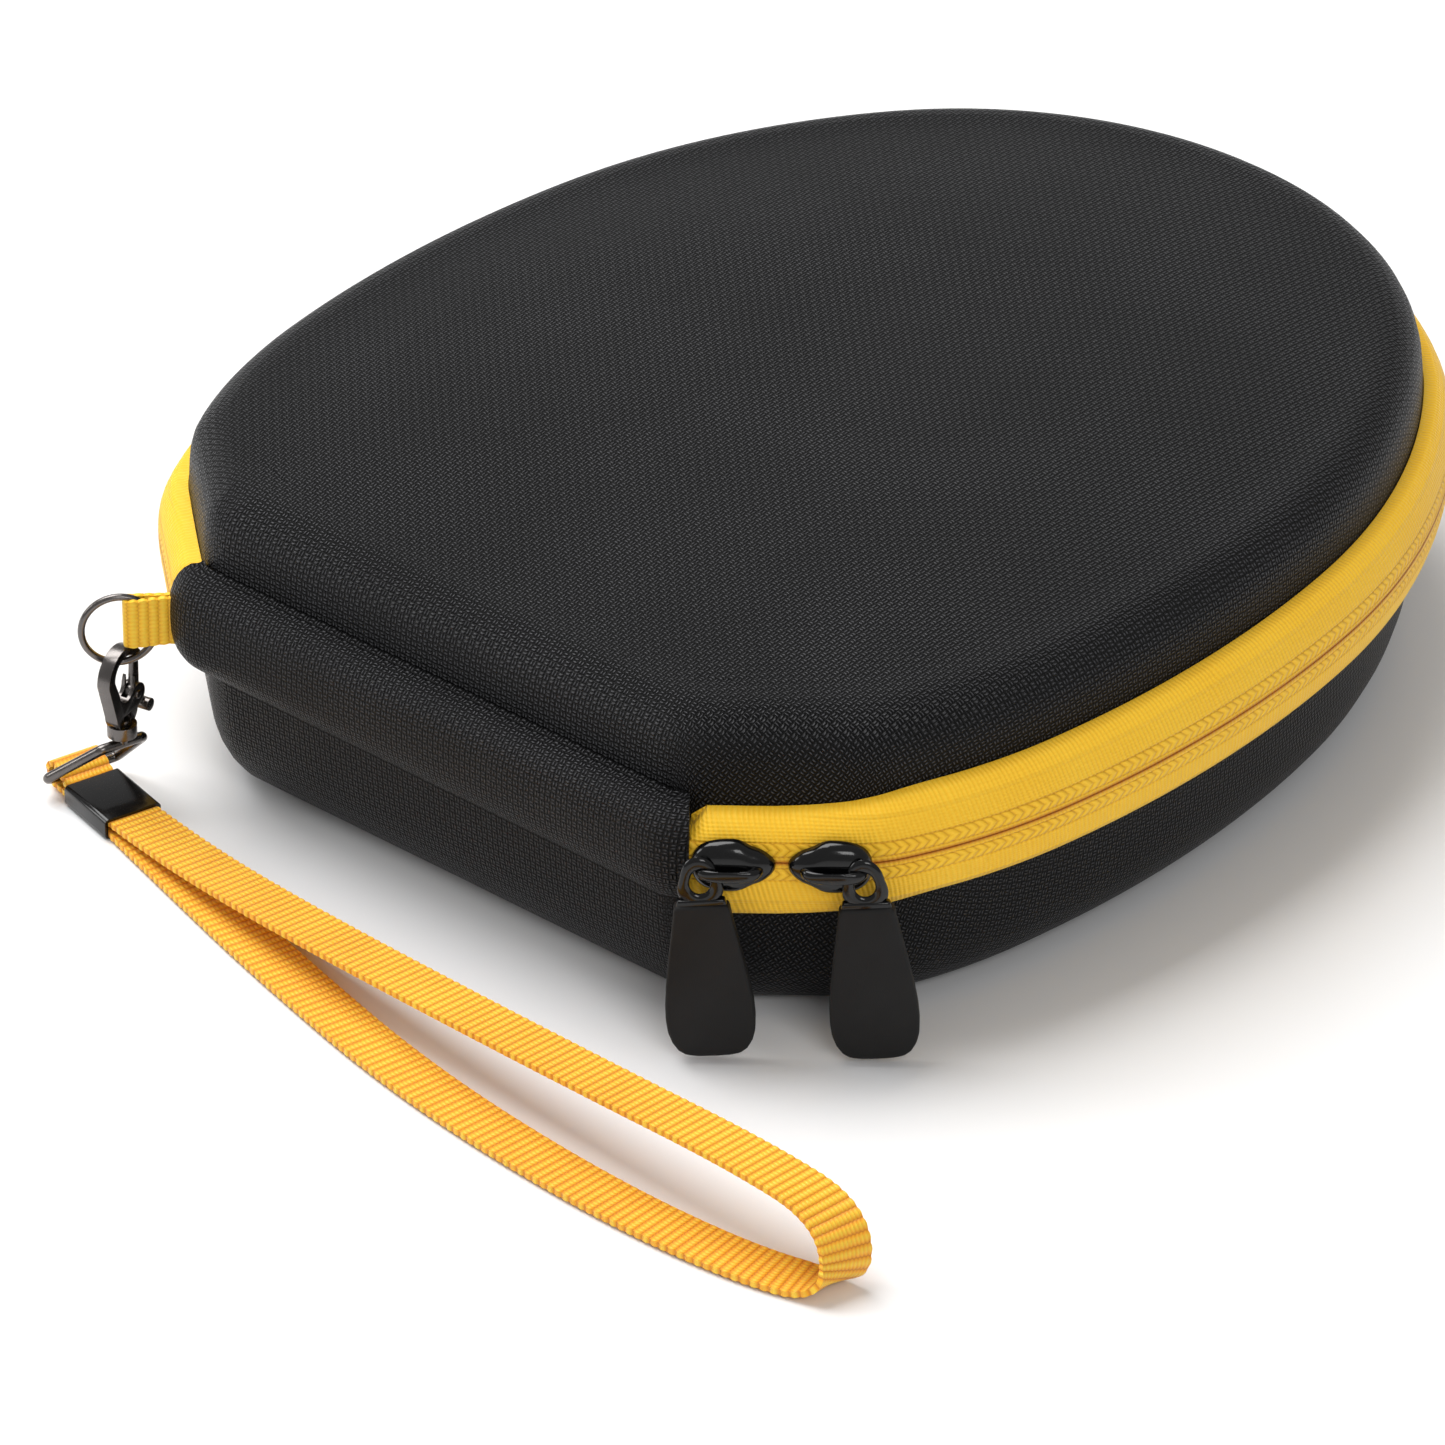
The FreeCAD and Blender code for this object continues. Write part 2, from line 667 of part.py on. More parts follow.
def shape_list():
    """Every node of the case with its shape, in the working frame."""
    nodes = {
        "base_shell": base_shell(),
        "base_lining": base_lining(),
        "base_binding": binding(-1),
        "zipper_tape_lower": tape(-1),
        "zipper_coil_lower": coil(-1),
        "spine_lower": spine_half(-1),
        "lid_shell": lid_shell(),
        "lid_lining": lid_lining(),
        "lid_binding": binding(1),
        "zipper_tape_upper": tape(1),
        "zipper_coil_upper": coil(1),
        "spine_upper": spine_half(1),
        "pocket_net": pocket_net(),
        "pocket_elastic": pocket_elastic(),
        "ring_tab": ring_tab(),
        "tab_ring": tab_ring(),
        "clasp_body": clasp_body(),
        "clasp_gate": clasp_gate(),
        "clasp_pin": clasp_pin(),
        "swivel_eye": swivel_eye(),
        "strap_ferrule": ferrule(),
        "strap_end_loop": end_loop(),
        "wrist_strap": strap(),
    }
    for number, (along, nose) in enumerate(zip(slider_centres, slider_noses), 1):
        body = place(slider_body(nose), along, plate_face, at_zip(0))
        link = place(pull_link(nose), along, plate_face + pivot_out, at_zip(0))
        tag = place(pull_tag(nose), along, plate_face + pivot_out, at_zip(0))
        nodes["slider_%d_body" % number] = body
        nodes["slider_%d_link" % number] = link
        nodes["slider_%d_tag" % number] = tag
    return nodes


def main():
    os.makedirs("parts", exist_ok=True)
    ring_edge = seam_frame(1, 0.0, ring_out + ring_radius + ring_wire).x
    centre_x = (nose_x + ring_edge) / 2
    for name, shape in shape_list().items():
        shape.translate(Vector(-centre_x, 0, 0))
        box = shape.BoundBox
        print("%-20s valid %s solids %d volume %.0f  x %.1f..%.1f y %.1f..%.1f z %.1f..%.1f" % (
            name, shape.isValid(), len(shape.Solids), shape.Volume,
            box.XMin, box.XMax, box.YMin, box.YMax, box.ZMin, box.ZMax))
        shape.exportStep("parts/%s.step" % name)
    print("seam", round(seam_x, 2), round(seam_y, 2), "nose", round(nose_x, 2), "centre", round(centre_x, 2))


main()
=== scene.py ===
# %% [markdown]
# # A headphone carrying case
# The case is a hard moulded clamshell covered in black ballistic nylon. A yellow zip runs round
# three sides, two sliders park at one end of the hinge, and a wrist strap clips on at the other.
# Every part already exists as an engineering solid in a shared frame. Here the soft pieces get
# their real shapes, and every surface gets its cloth, lacquer or metal. Sizes are in metres.

# %% Load the frame
import math
import bpy
import numpy as np
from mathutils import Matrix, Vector


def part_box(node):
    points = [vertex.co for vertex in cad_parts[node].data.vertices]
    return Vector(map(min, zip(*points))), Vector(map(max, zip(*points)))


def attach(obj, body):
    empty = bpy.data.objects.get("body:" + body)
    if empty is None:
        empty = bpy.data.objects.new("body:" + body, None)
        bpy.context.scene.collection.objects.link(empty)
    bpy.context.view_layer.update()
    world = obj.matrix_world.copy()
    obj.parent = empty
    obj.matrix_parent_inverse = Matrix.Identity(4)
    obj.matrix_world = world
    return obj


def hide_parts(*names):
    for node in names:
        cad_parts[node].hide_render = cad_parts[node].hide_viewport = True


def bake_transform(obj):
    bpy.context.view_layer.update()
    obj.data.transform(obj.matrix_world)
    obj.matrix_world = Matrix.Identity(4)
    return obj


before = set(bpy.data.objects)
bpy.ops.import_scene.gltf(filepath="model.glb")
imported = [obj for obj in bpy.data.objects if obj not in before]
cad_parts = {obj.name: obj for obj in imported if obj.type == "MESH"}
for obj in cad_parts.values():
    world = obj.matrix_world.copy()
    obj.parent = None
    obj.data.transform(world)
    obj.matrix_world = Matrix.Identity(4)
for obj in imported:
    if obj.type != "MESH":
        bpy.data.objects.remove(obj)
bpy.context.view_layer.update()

# %% [markdown]
# The camera stands well back with a long lens, as in a studio picture of a small product, so the
# sides stay nearly parallel. It looks down on the corner where the sliders park.

# %% Camera
look_at = Vector((-0.0723, -0.0355, 0.038))
towards = Vector((-0.6332, -0.5669, 0.5270)).normalized()
bpy.ops.object.camera_add(location=look_at + towards * 1.909)
camera = bpy.context.object
camera.name = "studio_camera"
camera.rotation_euler = (-towards).to_track_quat("-Z", "Y").to_euler()
camera.data.lens = 274.0
camera.data.sensor_width = 36.0
camera.data.clip_end = 20.0
bpy.context.scene.camera = camera
print("camera at", [round(c, 3) for c in camera.location])

# %% [markdown]
# The wrist strap is one loop of webbing. It leaves the ferrule on top, folds back at its far end
# and returns along the table into the same ferrule. A smooth spline through a few control points
# gives the line that the webbing follows; the mesh is laid along it further down.

# %% The strap's line
across = Vector((0.9684, -0.2496, 0.0))      # the webbing's width, level all the way
strap_points = [
    (-0.12257, 0.0623, 0.00270), (-0.12697, 0.0440, 0.0036), (-0.13267, 0.0140, 0.0066),
    (-0.13817, -0.0260, 0.0104), (-0.14217, -0.0700, 0.0134), (-0.14417, -0.1060, 0.0152),
    (-0.14577, -0.1280, 0.0142), (-0.14777, -0.1310, 0.00095), (-0.15317, -0.1120, 0.00095),
    (-0.15417, -0.0780, 0.00095), (-0.14967, -0.0340, 0.00095), (-0.13917, 0.0080, 0.00095),
    (-0.13017, 0.0380, 0.00095), (-0.12257, 0.0623, 0.00095)]


def spline_line(points, name):
    """Close-set points along a smooth spline whose control points are given."""
    data = bpy.data.curves.new(name, "CURVE")
    data.dimensions = "3D"
    spline = data.splines.new("NURBS")
    spline.points.add(len(points) - 1)
    for control, place in zip(spline.points, points):
        control.co = (*place, 1.0)
    spline.order_u = 3
    spline.use_endpoint_u = True
    spline.resolution_u = 40
    holder = bpy.data.objects.new(name, data)
    bpy.context.collection.objects.link(holder)
    mesh = bpy.data.meshes.new_from_object(holder)
    line = np.array([v.co for v in mesh.vertices])
    bpy.data.objects.remove(holder)
    bpy.data.meshes.remove(mesh)
    return line


strap_line = spline_line(strap_points, "strap_line")

# %% [markdown]
# ## Small helpers
# An operator acts on whatever is selected, so each one below first clears the selection. Faces and
# edges are picked by a rule on their place or direction, which is what a person does by eye.


# %% Selecting and editing
def nothing():
    """Leave edit mode and deselect everything."""
    if bpy.context.object and bpy.context.object.mode != "OBJECT":
        bpy.ops.object.mode_set(mode="OBJECT")
    bpy.ops.object.select_all(action="DESELECT")


def only(piece):
    """Select just this piece."""
    nothing()
    bpy.context.view_layer.objects.active = piece
    piece.select_set(True)


def pick(piece, rule, kind="FACE"):
    """Go into edit mode with just the faces, edges or vertices selected that the rule takes."""
    only(piece)
    bpy.ops.object.mode_set(mode="EDIT")
    bpy.ops.mesh.select_mode(type=kind)
    bpy.ops.mesh.select_all(action="DESELECT")
    bpy.ops.object.mode_set(mode="OBJECT")
    mesh = piece.data
    if kind == "FACE":
        for item in mesh.polygons:
            item.select = bool(rule(item.center, item.normal))
    elif kind == "EDGE":
        for item in mesh.edges:
            a, b = (mesh.vertices[i].co for i in item.vertices)
            item.select = bool(rule(a, b))
    else:
        for item in mesh.vertices:
            item.select = bool(rule(item.co, None))
    bpy.ops.object.mode_set(mode="EDIT")


def done():
    bpy.ops.object.mode_set(mode="OBJECT")


def started(name):
    """Name the primitive that was just added and put its place into its mesh."""
    piece = bpy.context.object
    only(piece)
    piece.name = name
    bpy.ops.object.transform_apply(location=True, rotation=True, scale=True)
    return piece


def apply_modifier(piece, kind, **settings):
    only(piece)
    modifier = piece.modifiers.new(kind.title(), kind)
    for key, value in settings.items():
        setattr(modifier, key, value)
    bpy.ops.object.modifier_apply(modifier=modifier.name)


def smooth(piece, degrees=35.0):
    only(piece)
    bpy.ops.object.shade_smooth_by_angle(angle=math.radians(degrees))


def new_piece(name, mesh):
    """An object for a mesh that is already made."""
    piece = bpy.data.objects.new(name, mesh)
    bpy.context.collection.objects.link(piece)
    return piece


def set_uv(mesh, flat):
    """Give every vertex its place on the flat cloth, in metres."""
    layer = mesh.uv_layers.new(name="cloth")
    corner = np.empty(len(mesh.loops), int)
    mesh.loops.foreach_get("vertex_index", corner)
    layer.data.foreach_set("uv", flat[corner].astype(np.float32).ravel())


def vertex_places(piece):
    return np.array([v.co for v in piece.data.vertices])


def tidy_mesh(piece, distance=0.00001):
    pick(piece, lambda *_: True)
    bpy.ops.mesh.remove_doubles(threshold=distance)
    bpy.ops.mesh.normals_make_consistent(inside=False)
    done()


def finish_piece(piece, body, material, slot, *nodes):
    """Put the finish on a piece, tie it to its body and hide the solids it stands for."""
    piece.data.materials.clear()
    piece.data.materials.append(material)
    if body:
        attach(piece, body)
    if nodes:
        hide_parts(*nodes)
    print("made", piece.name, "with", len(piece.data.polygons), "faces")


# %% [markdown]
# ## The outline
# Seen from above, the zip line is a straight hinge, a small round corner, a straight chamfer and
# then five arcs round to the nose. The same walk along it serves two ends: it drives the spin
# operator that draws the outline, and it gives the closest point of the outline to any place, so
# that cloth can be laid flat on it.

# %% Outline sizes
zip_z = 0.038
hinge_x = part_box("spine_lower")[0][0]
seam_turn = math.radians(40.0)
arcs = [(0.028, 24.0), (0.112, 17.0), (0.241, 18.0), (0.143, 29.0), (0.089, 52.0)]
chamfer = 0.026
hinge_corner = 0.013
least_corner = 0.002
cover_corner = 0.015
lining_corner = 0.0115
net_corner = 0.0105


def walk(inset, corner=hinge_corner):
    """Steps round the front half: straight runs by length, arcs by radius and turn."""
    corner_here = corner if corner != hinge_corner else max(hinge_corner - inset, least_corner)
    trim = (corner_here - (hinge_corner - inset)) * math.tan(seam_turn / 2)
    steps = [("arc", corner_here, seam_turn), ("run", chamfer - trim, 0.0)]
    steps += [("arc", radius - inset, math.radians(turn)) for radius, turn in arcs]
    return steps


def trace(inset, corner=hinge_corner, spacing=0.0005):
    """Points, outward directions and distances along the front half, hinge to nose."""
    heading = -math.pi / 2
    place = np.array([hinge_x + inset, 0.0])
    rows = [(place, heading, 0.0)]
    gone = 0.0
    for kind, size, turn in walk(inset, corner):
        length = size if kind == "run" else size * turn
        count = max(2, round(length / spacing))
        for _ in range(count):
            half = turn / count / 2
            chord = length / count if kind == "run" else 2 * size * math.sin(half)
            heading += half
            place = place + chord * np.array([math.cos(heading), math.sin(heading)])
            heading += half
            gone += length / count
            rows.append((place, heading, gone))
    points = np.array([r[0] for r in rows])
    points[:, 1] -= points[-1, 1]
    out = np.array([(math.sin(r[1]), -math.cos(r[1])) for r in rows])
    return points, out, np.array([r[2] for r in rows])


line, line_out, line_along = trace(0.0)
hinge_half = -line[0, 1]
seam_index = int(np.argmin(np.abs(line_along - hinge_corner * seam_turn)))
seam = line[seam_index]
seam_along = line_along[seam_index]
print("hinge straight is", round(2 * hinge_half, 4), "long; seam at", seam.round(4))


def closest(places):
    """Distance round from the middle of the hinge, inset and outward direction."""
    flat = np.array(places)[:, :2].copy()
    side = np.where(flat[:, 1] > 0, -1.0, 1.0)
    flat[:, 1] = -np.abs(flat[:, 1])
    along = np.empty(len(flat))
    inset = np.empty(len(flat))
    out = np.empty((len(flat), 2))
    straight = flat[:, 1] > line[0, 1]
    for start in range(0, len(flat), 2000):
        part = slice(start, start + 2000)
        gap = flat[part, None, :] - line[None, :, :]
        best = np.argmin((gap ** 2).sum(axis=2), axis=1)
        along[part] = line_along[best]
        out[part] = line_out[best]
        inset[part] = -(gap[np.arange(len(best)), best] * line_out[best]).sum(axis=1)
    hinge_near = straight & (flat[:, 0] < hinge_x + 0.03)
    along[hinge_near] = flat[hinge_near, 1] * -1.0 - hinge_half
    inset[hinge_near] = flat[hinge_near, 0] - hinge_x
    out[hinge_near] = (-1.0, 0.0)
    out[:, 1] *= side
    return (along + hinge_half) * side, inset, out


# %% [markdown]
# A vertex is spun round each arc's centre in turn to draw half of the outline. A Mirror modifier
# makes the other half and the ring is filled with one face. From there a shell is a stack of
# insets: each inset shrinks the face evenly and moves it up or down, which is how the section of
# a moulded wall is drawn as a list of (inset, height) pairs.


# %% Outline face and stacked insets
def outline_face(name, inset, z, facing, corner=hinge_corner, spacing=0.0020):
    """A flat face with the case's outline, set in by the inset, facing up (1) or down (-1)."""
    nothing()
    bpy.ops.mesh.primitive_plane_add(size=0.001, location=(0, 0, 0))
    piece = started(name)
    points, _, _ = trace(inset, corner)
    start = Vector((hinge_x + inset, 0.0, z))
    bpy.ops.object.mode_set(mode="EDIT")
    bpy.ops.mesh.select_mode(type="VERT")
    bpy.ops.mesh.select_all(action="SELECT")
    bpy.ops.mesh.merge(type="CENTER")
    bpy.ops.transform.translate(value=start)
    hinge_steps = 12
    for _ in range(hinge_steps):
        bpy.ops.mesh.extrude_vertices_move(
            TRANSFORM_OT_translate={"value": (0, points[0, 1] / hinge_steps, 0)})
    here = np.array([points[0, 0], points[0, 1]])
    heading = -math.pi / 2
    for kind, size, turn in walk(inset, corner):
        if kind == "run":
            count = max(2, round(size / spacing / 1.5))
            step = size / count * np.array([math.cos(heading), math.sin(heading)])
            for _ in range(count):
                bpy.ops.mesh.extrude_vertices_move(
                    TRANSFORM_OT_translate={"value": (step[0], step[1], 0)})
            here = here + step * count
            continue
        centre = here + size * np.array([-math.sin(heading), math.cos(heading)])
        bpy.ops.mesh.spin(
            steps=max(4, round(size * turn / spacing)), angle=-turn,
            center=(centre[0], centre[1], z), axis=(0, 0, 1))
        heading += turn
        here = centre + size * np.array([math.sin(heading), -math.cos(heading)])
    done()
    apply_modifier(piece, "MIRROR", use_axis=(False, True, False), merge_threshold=0.0002)
    pick(piece, lambda *_: True, "VERT")
    bpy.ops.mesh.edge_face_add()
    done()
    if piece.data.polygons[0].normal.z * facing < 0:
        piece.data.flip_normals()
    return piece


def stack(piece, rows):
    """Inset the selected end face along a section given as (inset, z) pairs."""
    only(piece)
    bpy.ops.object.mode_set(mode="EDIT")
    bpy.ops.mesh.select_mode(type="FACE")
    bpy.ops.mesh.select_all(action="SELECT")
    for (inset_a, z_a), (inset_b, z_b) in zip(rows, rows[1:]):
        bpy.ops.mesh.inset(
            thickness=max(inset_b - inset_a, 0.0), depth=abs(z_b - z_a), use_even_offset=True)
    done()


def pick_end(piece):
    """Select the big end face that the insets leave."""
    big = max(piece.data.polygons, key=lambda face: face.area)
    centre = big.center.copy()
    pick(piece, lambda c, n: (c - centre).length < 1e-7)


def open_end(piece):
    pick_end(piece)
    bpy.ops.mesh.delete(type="FACE")
    done()


def keep_side(piece, keep_hinge):
    """Cut a ring at both seams and keep the hinge's side or the zip's side."""
    for side in (-1, 1):
        normal = Vector((math.sin(seam_turn), side * math.cos(seam_turn), 0.0))
        if keep_hinge:
            pick(piece, lambda c, n: c.y * side > 0)
        else:
            pick(piece, lambda c, n: c.y * side > 0 and c.x < hinge_x + 0.06)
        bpy.ops.mesh.bisect(
            plane_co=(seam[0], -side * seam[1], zip_z), plane_no=normal,
            clear_outer=keep_hinge, clear_inner=not keep_hinge)
        done()


def lay_flat(piece, rows, mode):
    """UVs in metres. 'round' runs along the zip line; 'cloth' unrolls the walls off the top."""
    places = vertex_places(piece)
    along, inset, out = closest(places)
    if mode == "round":
        flat = np.stack([along, places[:, 2] - zip_z], axis=1)
    else:
        section = np.array(rows)
        run = np.concatenate([[0], np.linalg.norm(np.diff(section, axis=0), axis=1).cumsum()])
        run = run[-1] - run
        fine = np.linspace(0, 1, 12)[:-1]
        knots = [section[i] * (1 - t) + section[i + 1] * t
                 for i in range(len(section) - 1) for t in fine] + [section[-1]]
        runs = [run[i] * (1 - t) + run[i + 1] * t for i in range(len(run) - 1) for t in fine] + [0.0]
        knots = np.array(knots)
        gap = (inset[:, None] - knots[None, :, 0]) ** 2 + (places[:, 2, None] - knots[None, :, 1]) ** 2
        best = np.argmin(gap, axis=1)
        extra = np.array(runs)[best] - (section[-1, 0] - inset)
        extra = np.where(inset > section[-1, 0], 0.0, extra)
        flat = places[:, :2] + out * extra[:, None]
    set_uv(piece.data, flat)


def dress(piece, rows, mode, body, material, slot, node):
    """Lay a moulded or sewn piece flat, smooth it and finish it."""
    lay_flat(piece, rows, mode)
    smooth(piece, 50)
    finish_piece(piece, body, material, slot, node)


# %% [markdown]
# ## Shader arithmetic
# A pattern such as a weave is a sum of waves. Writing it as nodes by hand is slow, so one small
# class wraps a socket and turns Python's own operators into Math nodes. Everything else comes from
# one method that takes a node's type, its settings and its inputs.


# %% The shader workbench
class Wave:
    """A number that varies over a surface. Arithmetic on it adds Math nodes."""

    def __init__(self, bench, socket):
        self.bench = bench
        self.socket = socket

    def math(self, operation, *others):
        inputs = dict(enumerate((self, *others)))
        node = self.bench.node("ShaderNodeMath", {"operation": operation}, inputs)
        return Wave(self.bench, node.outputs[0])

    def __add__(self, other): return self.math("ADD", other)
    __radd__ = __add__
    def __mul__(self, other): return self.math("MULTIPLY", other)
    __rmul__ = __mul__
    def __sub__(self, other): return self.math("SUBTRACT", other)
    def __rsub__(self, other): return (self * -1.0) + other
    def __truediv__(self, other): return self.math("DIVIDE", other)
    def __neg__(self): return self * -1.0
    def __gt__(self, other): return self.math("GREATER_THAN", other)
    def __lt__(self, other): return self.math("LESS_THAN", other)
    def __mod__(self, other): return self.math("FLOORED_MODULO", other)
    def __abs__(self): return self.math("ABSOLUTE")
    def __pow__(self, other): return self.math("POWER", other)
    def sin(self): return self.math("SINE")
    def floor(self): return self.math("FLOOR")
    def largest(self, other): return self.math("MAXIMUM", other)
    def least(self, other): return self.math("MINIMUM", other)
    def clamp(self): return self.largest(0.0).least(1.0)


class Bench:
    """A material being made."""

    def __init__(self, name, **constants):
        self.material = bpy.data.materials.new(name)
        self.material.use_nodes = True
        self.material.node_tree.nodes.clear()
        self.shader = self.node("ShaderNodeBsdfPrincipled", {}, constants)
        self.node("ShaderNodeOutputMaterial", {}, {"Surface": self.shader.outputs[0]})

    def node(self, kind, settings=None, inputs=None):
        node = self.material.node_tree.nodes.new(kind)
        for key, value in (settings or {}).items():
            if key == "stops":
                ramp = node.color_ramp
                for place, colour in value[2:]:
                    ramp.elements.new(place)
                for element, (place, colour) in zip(ramp.elements, sorted(value)):
                    element.position = place
                    element.color = colour
            else:
                setattr(node, key, value)
        for key, value in (inputs or {}).items():
            self.plug(node.inputs[key], value)
        return node

    def plug(self, socket, value):
        if isinstance(value, Wave):
            value = value.socket
        if isinstance(value, bpy.types.NodeSocket):
            self.material.node_tree.links.new(value, socket)
        elif hasattr(value, "__len__") and len(value) == 3 and socket.type == "RGBA":
            socket.default_value = (*value, 1.0)
        else:
            socket.default_value = value

    def uv(self):
        """The cloth's own two coordinates, in metres."""
        where = self.node("ShaderNodeUVMap", {"uv_map": "cloth"})
        split = self.node("ShaderNodeSeparateXYZ", {}, {0: where.outputs[0]})
        return Wave(self, split.outputs[0]), Wave(self, split.outputs[1])

    def place(self):
        return self.node("ShaderNodeTexCoord").outputs["Object"]

    def noise(self, scale, detail=3.0, rough=0.55, at=None):
        node = self.node("ShaderNodeTexNoise", {}, {
            "Vector": self.place() if at is None else at,
            "Scale": scale, "Detail": detail, "Roughness": rough})
        return Wave(self, node.outputs[0])

    def blend(self, amount, low, high):
        """A colour between two, by a wave from 0 to 1."""
        node = self.node("ShaderNodeMix", {"data_type": "RGBA"}, {0: amount})
        self.plug(node.inputs[6], low)
        self.plug(node.inputs[7], high)
        return node.outputs[2]

    def ramp(self, wave, *stops):
        node = self.node("ShaderNodeValToRGB", {"stops": list(stops)}, {0: wave})
        return node.outputs[0]

    def relief(self, height, distance, strength=1.0):
        node = self.node("ShaderNodeBump", {}, {
            "Height": height, "Distance": distance, "Strength": strength})
        self.plug(self.shader.inputs["Normal"], node.outputs[0])

    def set(self, **inputs):
        for key, value in inputs.items():
            self.plug(self.shader.inputs[key.replace("_", " ")], value)
        return self.material


TURN = 2 * math.pi

# %% [markdown]
# ## Ballistic nylon
# The cover cloth is a basket weave: two yarns go over two, so each little cell shows a pair of
# short parallel dashes, and neighbouring cells show them at right angles. A checkerboard decides
# which way a cell's yarns run, a sine across the cell makes the pair, and a rounded fall-off
# along it makes each yarn dive under the next. The yarns' crowns are also painted lighter in the base
# colour: a painted highlight that stands in for the glint of the threads.


# %% Ballistic nylon finish
def ballistic_nylon(name, cell=0.00125):
    bench = Bench(name, **{"Specular IOR Level": 0.15})
    u, v = bench.uv()
    wander = (bench.noise(90.0, 2.0) - 0.5) * 0.35
    u = u / cell + wander
    v = v / cell + wander
    other = (u.floor() + v.floor()) % 2.0
    fu = u % 1.0
    fv = v % 1.0

    def yarns(run, side):
        pair = abs((side * TURN).sin())
        dive = 1.0 - (abs(run * 2.0 - 1.0) ** 2.6)
        return pair * dive

    height = yarns(fu, fv) * (1.0 - other) + yarns(fv, fu) * other
    fibre = bench.noise(5200.0, 2.0)
    worn = bench.noise(28.0, 3.0)
    bench.relief(height + fibre * 0.18, 0.00022, 0.9)
    # The base colour follows the yarn height. The crowns are painted lighter as a painted highlight for
    # the threads' glint, varied by random wear, with fibre grain added.
    crown_glint_and_grain = (height * (0.70 + worn * 0.20) + fibre * 0.2).clamp()
    return bench.set(
        Base_Color=bench.ramp(
            crown_glint_and_grain, (0.0, (0.0003, 0.0003, 0.0004, 1)), (1.0, (0.085, 0.085, 0.092, 1)),
            (0.68, (0.0012, 0.0012, 0.0015, 1))),
        Roughness=0.50 - height * 0.24 + worn * 0.06)


shell_cloth = ballistic_nylon("shell_ballistic_nylon")
print("cover cloth ready")

# %% [markdown]
# ## The lid
# The lid's section climbs almost straight from the rim, rolls over a soft shoulder and ends in a
# low ridge. Inside the ridge the foam is thicker, so the top swells again into a broad dome. The
# wall and ridge are insets of the outline face; the dome is rings scaled in towards the middle,
# raised along a smooth curve and merged at the crown.

# %% Lid cover
shell_wall = 0.0032
crown_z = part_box("lid_shell")[1][2]


def section(facing, *pairs):
    """A section from pairs in millimetres: inset, and distance above or below the zip line."""
    return [(inset / 1000, zip_z + facing * z / 1000) for inset, z in pairs]


lid_rows = section(
    1, (6.5, 5.5), (6.5, 8.0), (6.55, 11.0), (6.7, 14.0), (6.95, 16.4), (7.5, 18.5), (8.4, 20.3),
    (9.7, 21.8), (11.3, 23.0), (13.2, 23.8), (15.2, 24.15), (17.2, 24.1), (19.4, 23.95))


def dome(piece, rim_z, top_z, rings=(0.955, 0.90, 0.83, 0.74, 0.63, 0.50, 0.36, 0.22, 0.09)):
    """Scale the end face in, ring by ring, and raise it along a smooth curve to the crown."""
    pick_end(piece)
    middle = Vector((0.004, 0.0, rim_z))
    size = 1.0
    height = rim_z
    for ring in rings:
        level = top_z - (top_z - rim_z) * ring ** 2.3
        bpy.ops.mesh.extrude_region_move(
            TRANSFORM_OT_translate={"value": (0, 0, level - height)})
        bpy.ops.transform.resize(
            value=(ring / size, ring / size, 1.0), center_override=middle)
        size = ring
        height = level
    bpy.ops.mesh.extrude_region_move(TRANSFORM_OT_translate={"value": (0, 0, top_z - height)})
    bpy.ops.mesh.merge(type="CENTER")
    done()


def round_corners(piece, rows, first_inset, widest):
    """Even out the plan corners of the inner rings, more and more towards the last ring."""
    places = vertex_places(piece)
    along, inset, _ = closest(places)
    section = np.array(rows)
    gap = (inset[:, None] - section[None, :, 0]) ** 2 + (places[:, 2, None] - section[None, :, 1]) ** 2
    ring_of = np.argmin(gap, axis=1)
    total = 2 * (line_along[-1] + hinge_half)
    for ring, (ring_inset, _) in enumerate(rows):
        share = (ring_inset - first_inset) / (rows[-1][0] - first_inset)
        members = np.nonzero(ring_of == ring)[0]
        if share <= 0 or len(members) == 0:
            continue
        apart = np.abs(along[members, None] - along[None, members])
        apart = np.minimum(apart, total - apart)
        weight = np.exp(-0.5 * (apart / (widest * share)) ** 2)
        even = (weight @ places[members, :2]) / weight.sum(axis=1, keepdims=True)
        for index, spot in zip(members, even):
            piece.data.vertices[int(index)].co.xy = spot


lid_cover = outline_face("lid_cover", *lid_rows[0], 1, cover_corner)
stack(lid_cover, lid_rows)
round_corners(lid_cover, lid_rows, first_inset=0.0075, widest=0.0150)
dome(lid_cover, lid_rows[-1][1], crown_z)
apply_modifier(lid_cover, "SOLIDIFY", thickness=shell_wall, offset=-1.0)
dress(lid_cover, lid_rows, "cloth", "lid", shell_cloth, "shell_fabric", "lid_shell")

# %% [markdown]
# ## The base
# The base is deeper and plainer: a wall with a little draft, a generous round and a flat floor
# that the case stands on. It is the same stack of insets, made facing down.

# %% Base cover
base_rows = section(
    -1, (6.3, 5.5), (6.4, 9.0), (6.55, 13.0), (6.8, 17.0), (7.15, 21.0), (7.7, 24.5), (8.7, 27.9),
    (10.2, 31.0), (12.2, 33.7), (14.7, 35.9), (17.6, 37.4), (20.4, 38.0))
base_cover = outline_face("base_cover", *base_rows[0], -1, cover_corner)
stack(base_cover, base_rows)
apply_modifier(base_cover, "SOLIDIFY", thickness=shell_wall, offset=-1.0)
dress(base_cover, base_rows, "cloth", "base", shell_cloth, "shell_fabric", "base_shell")
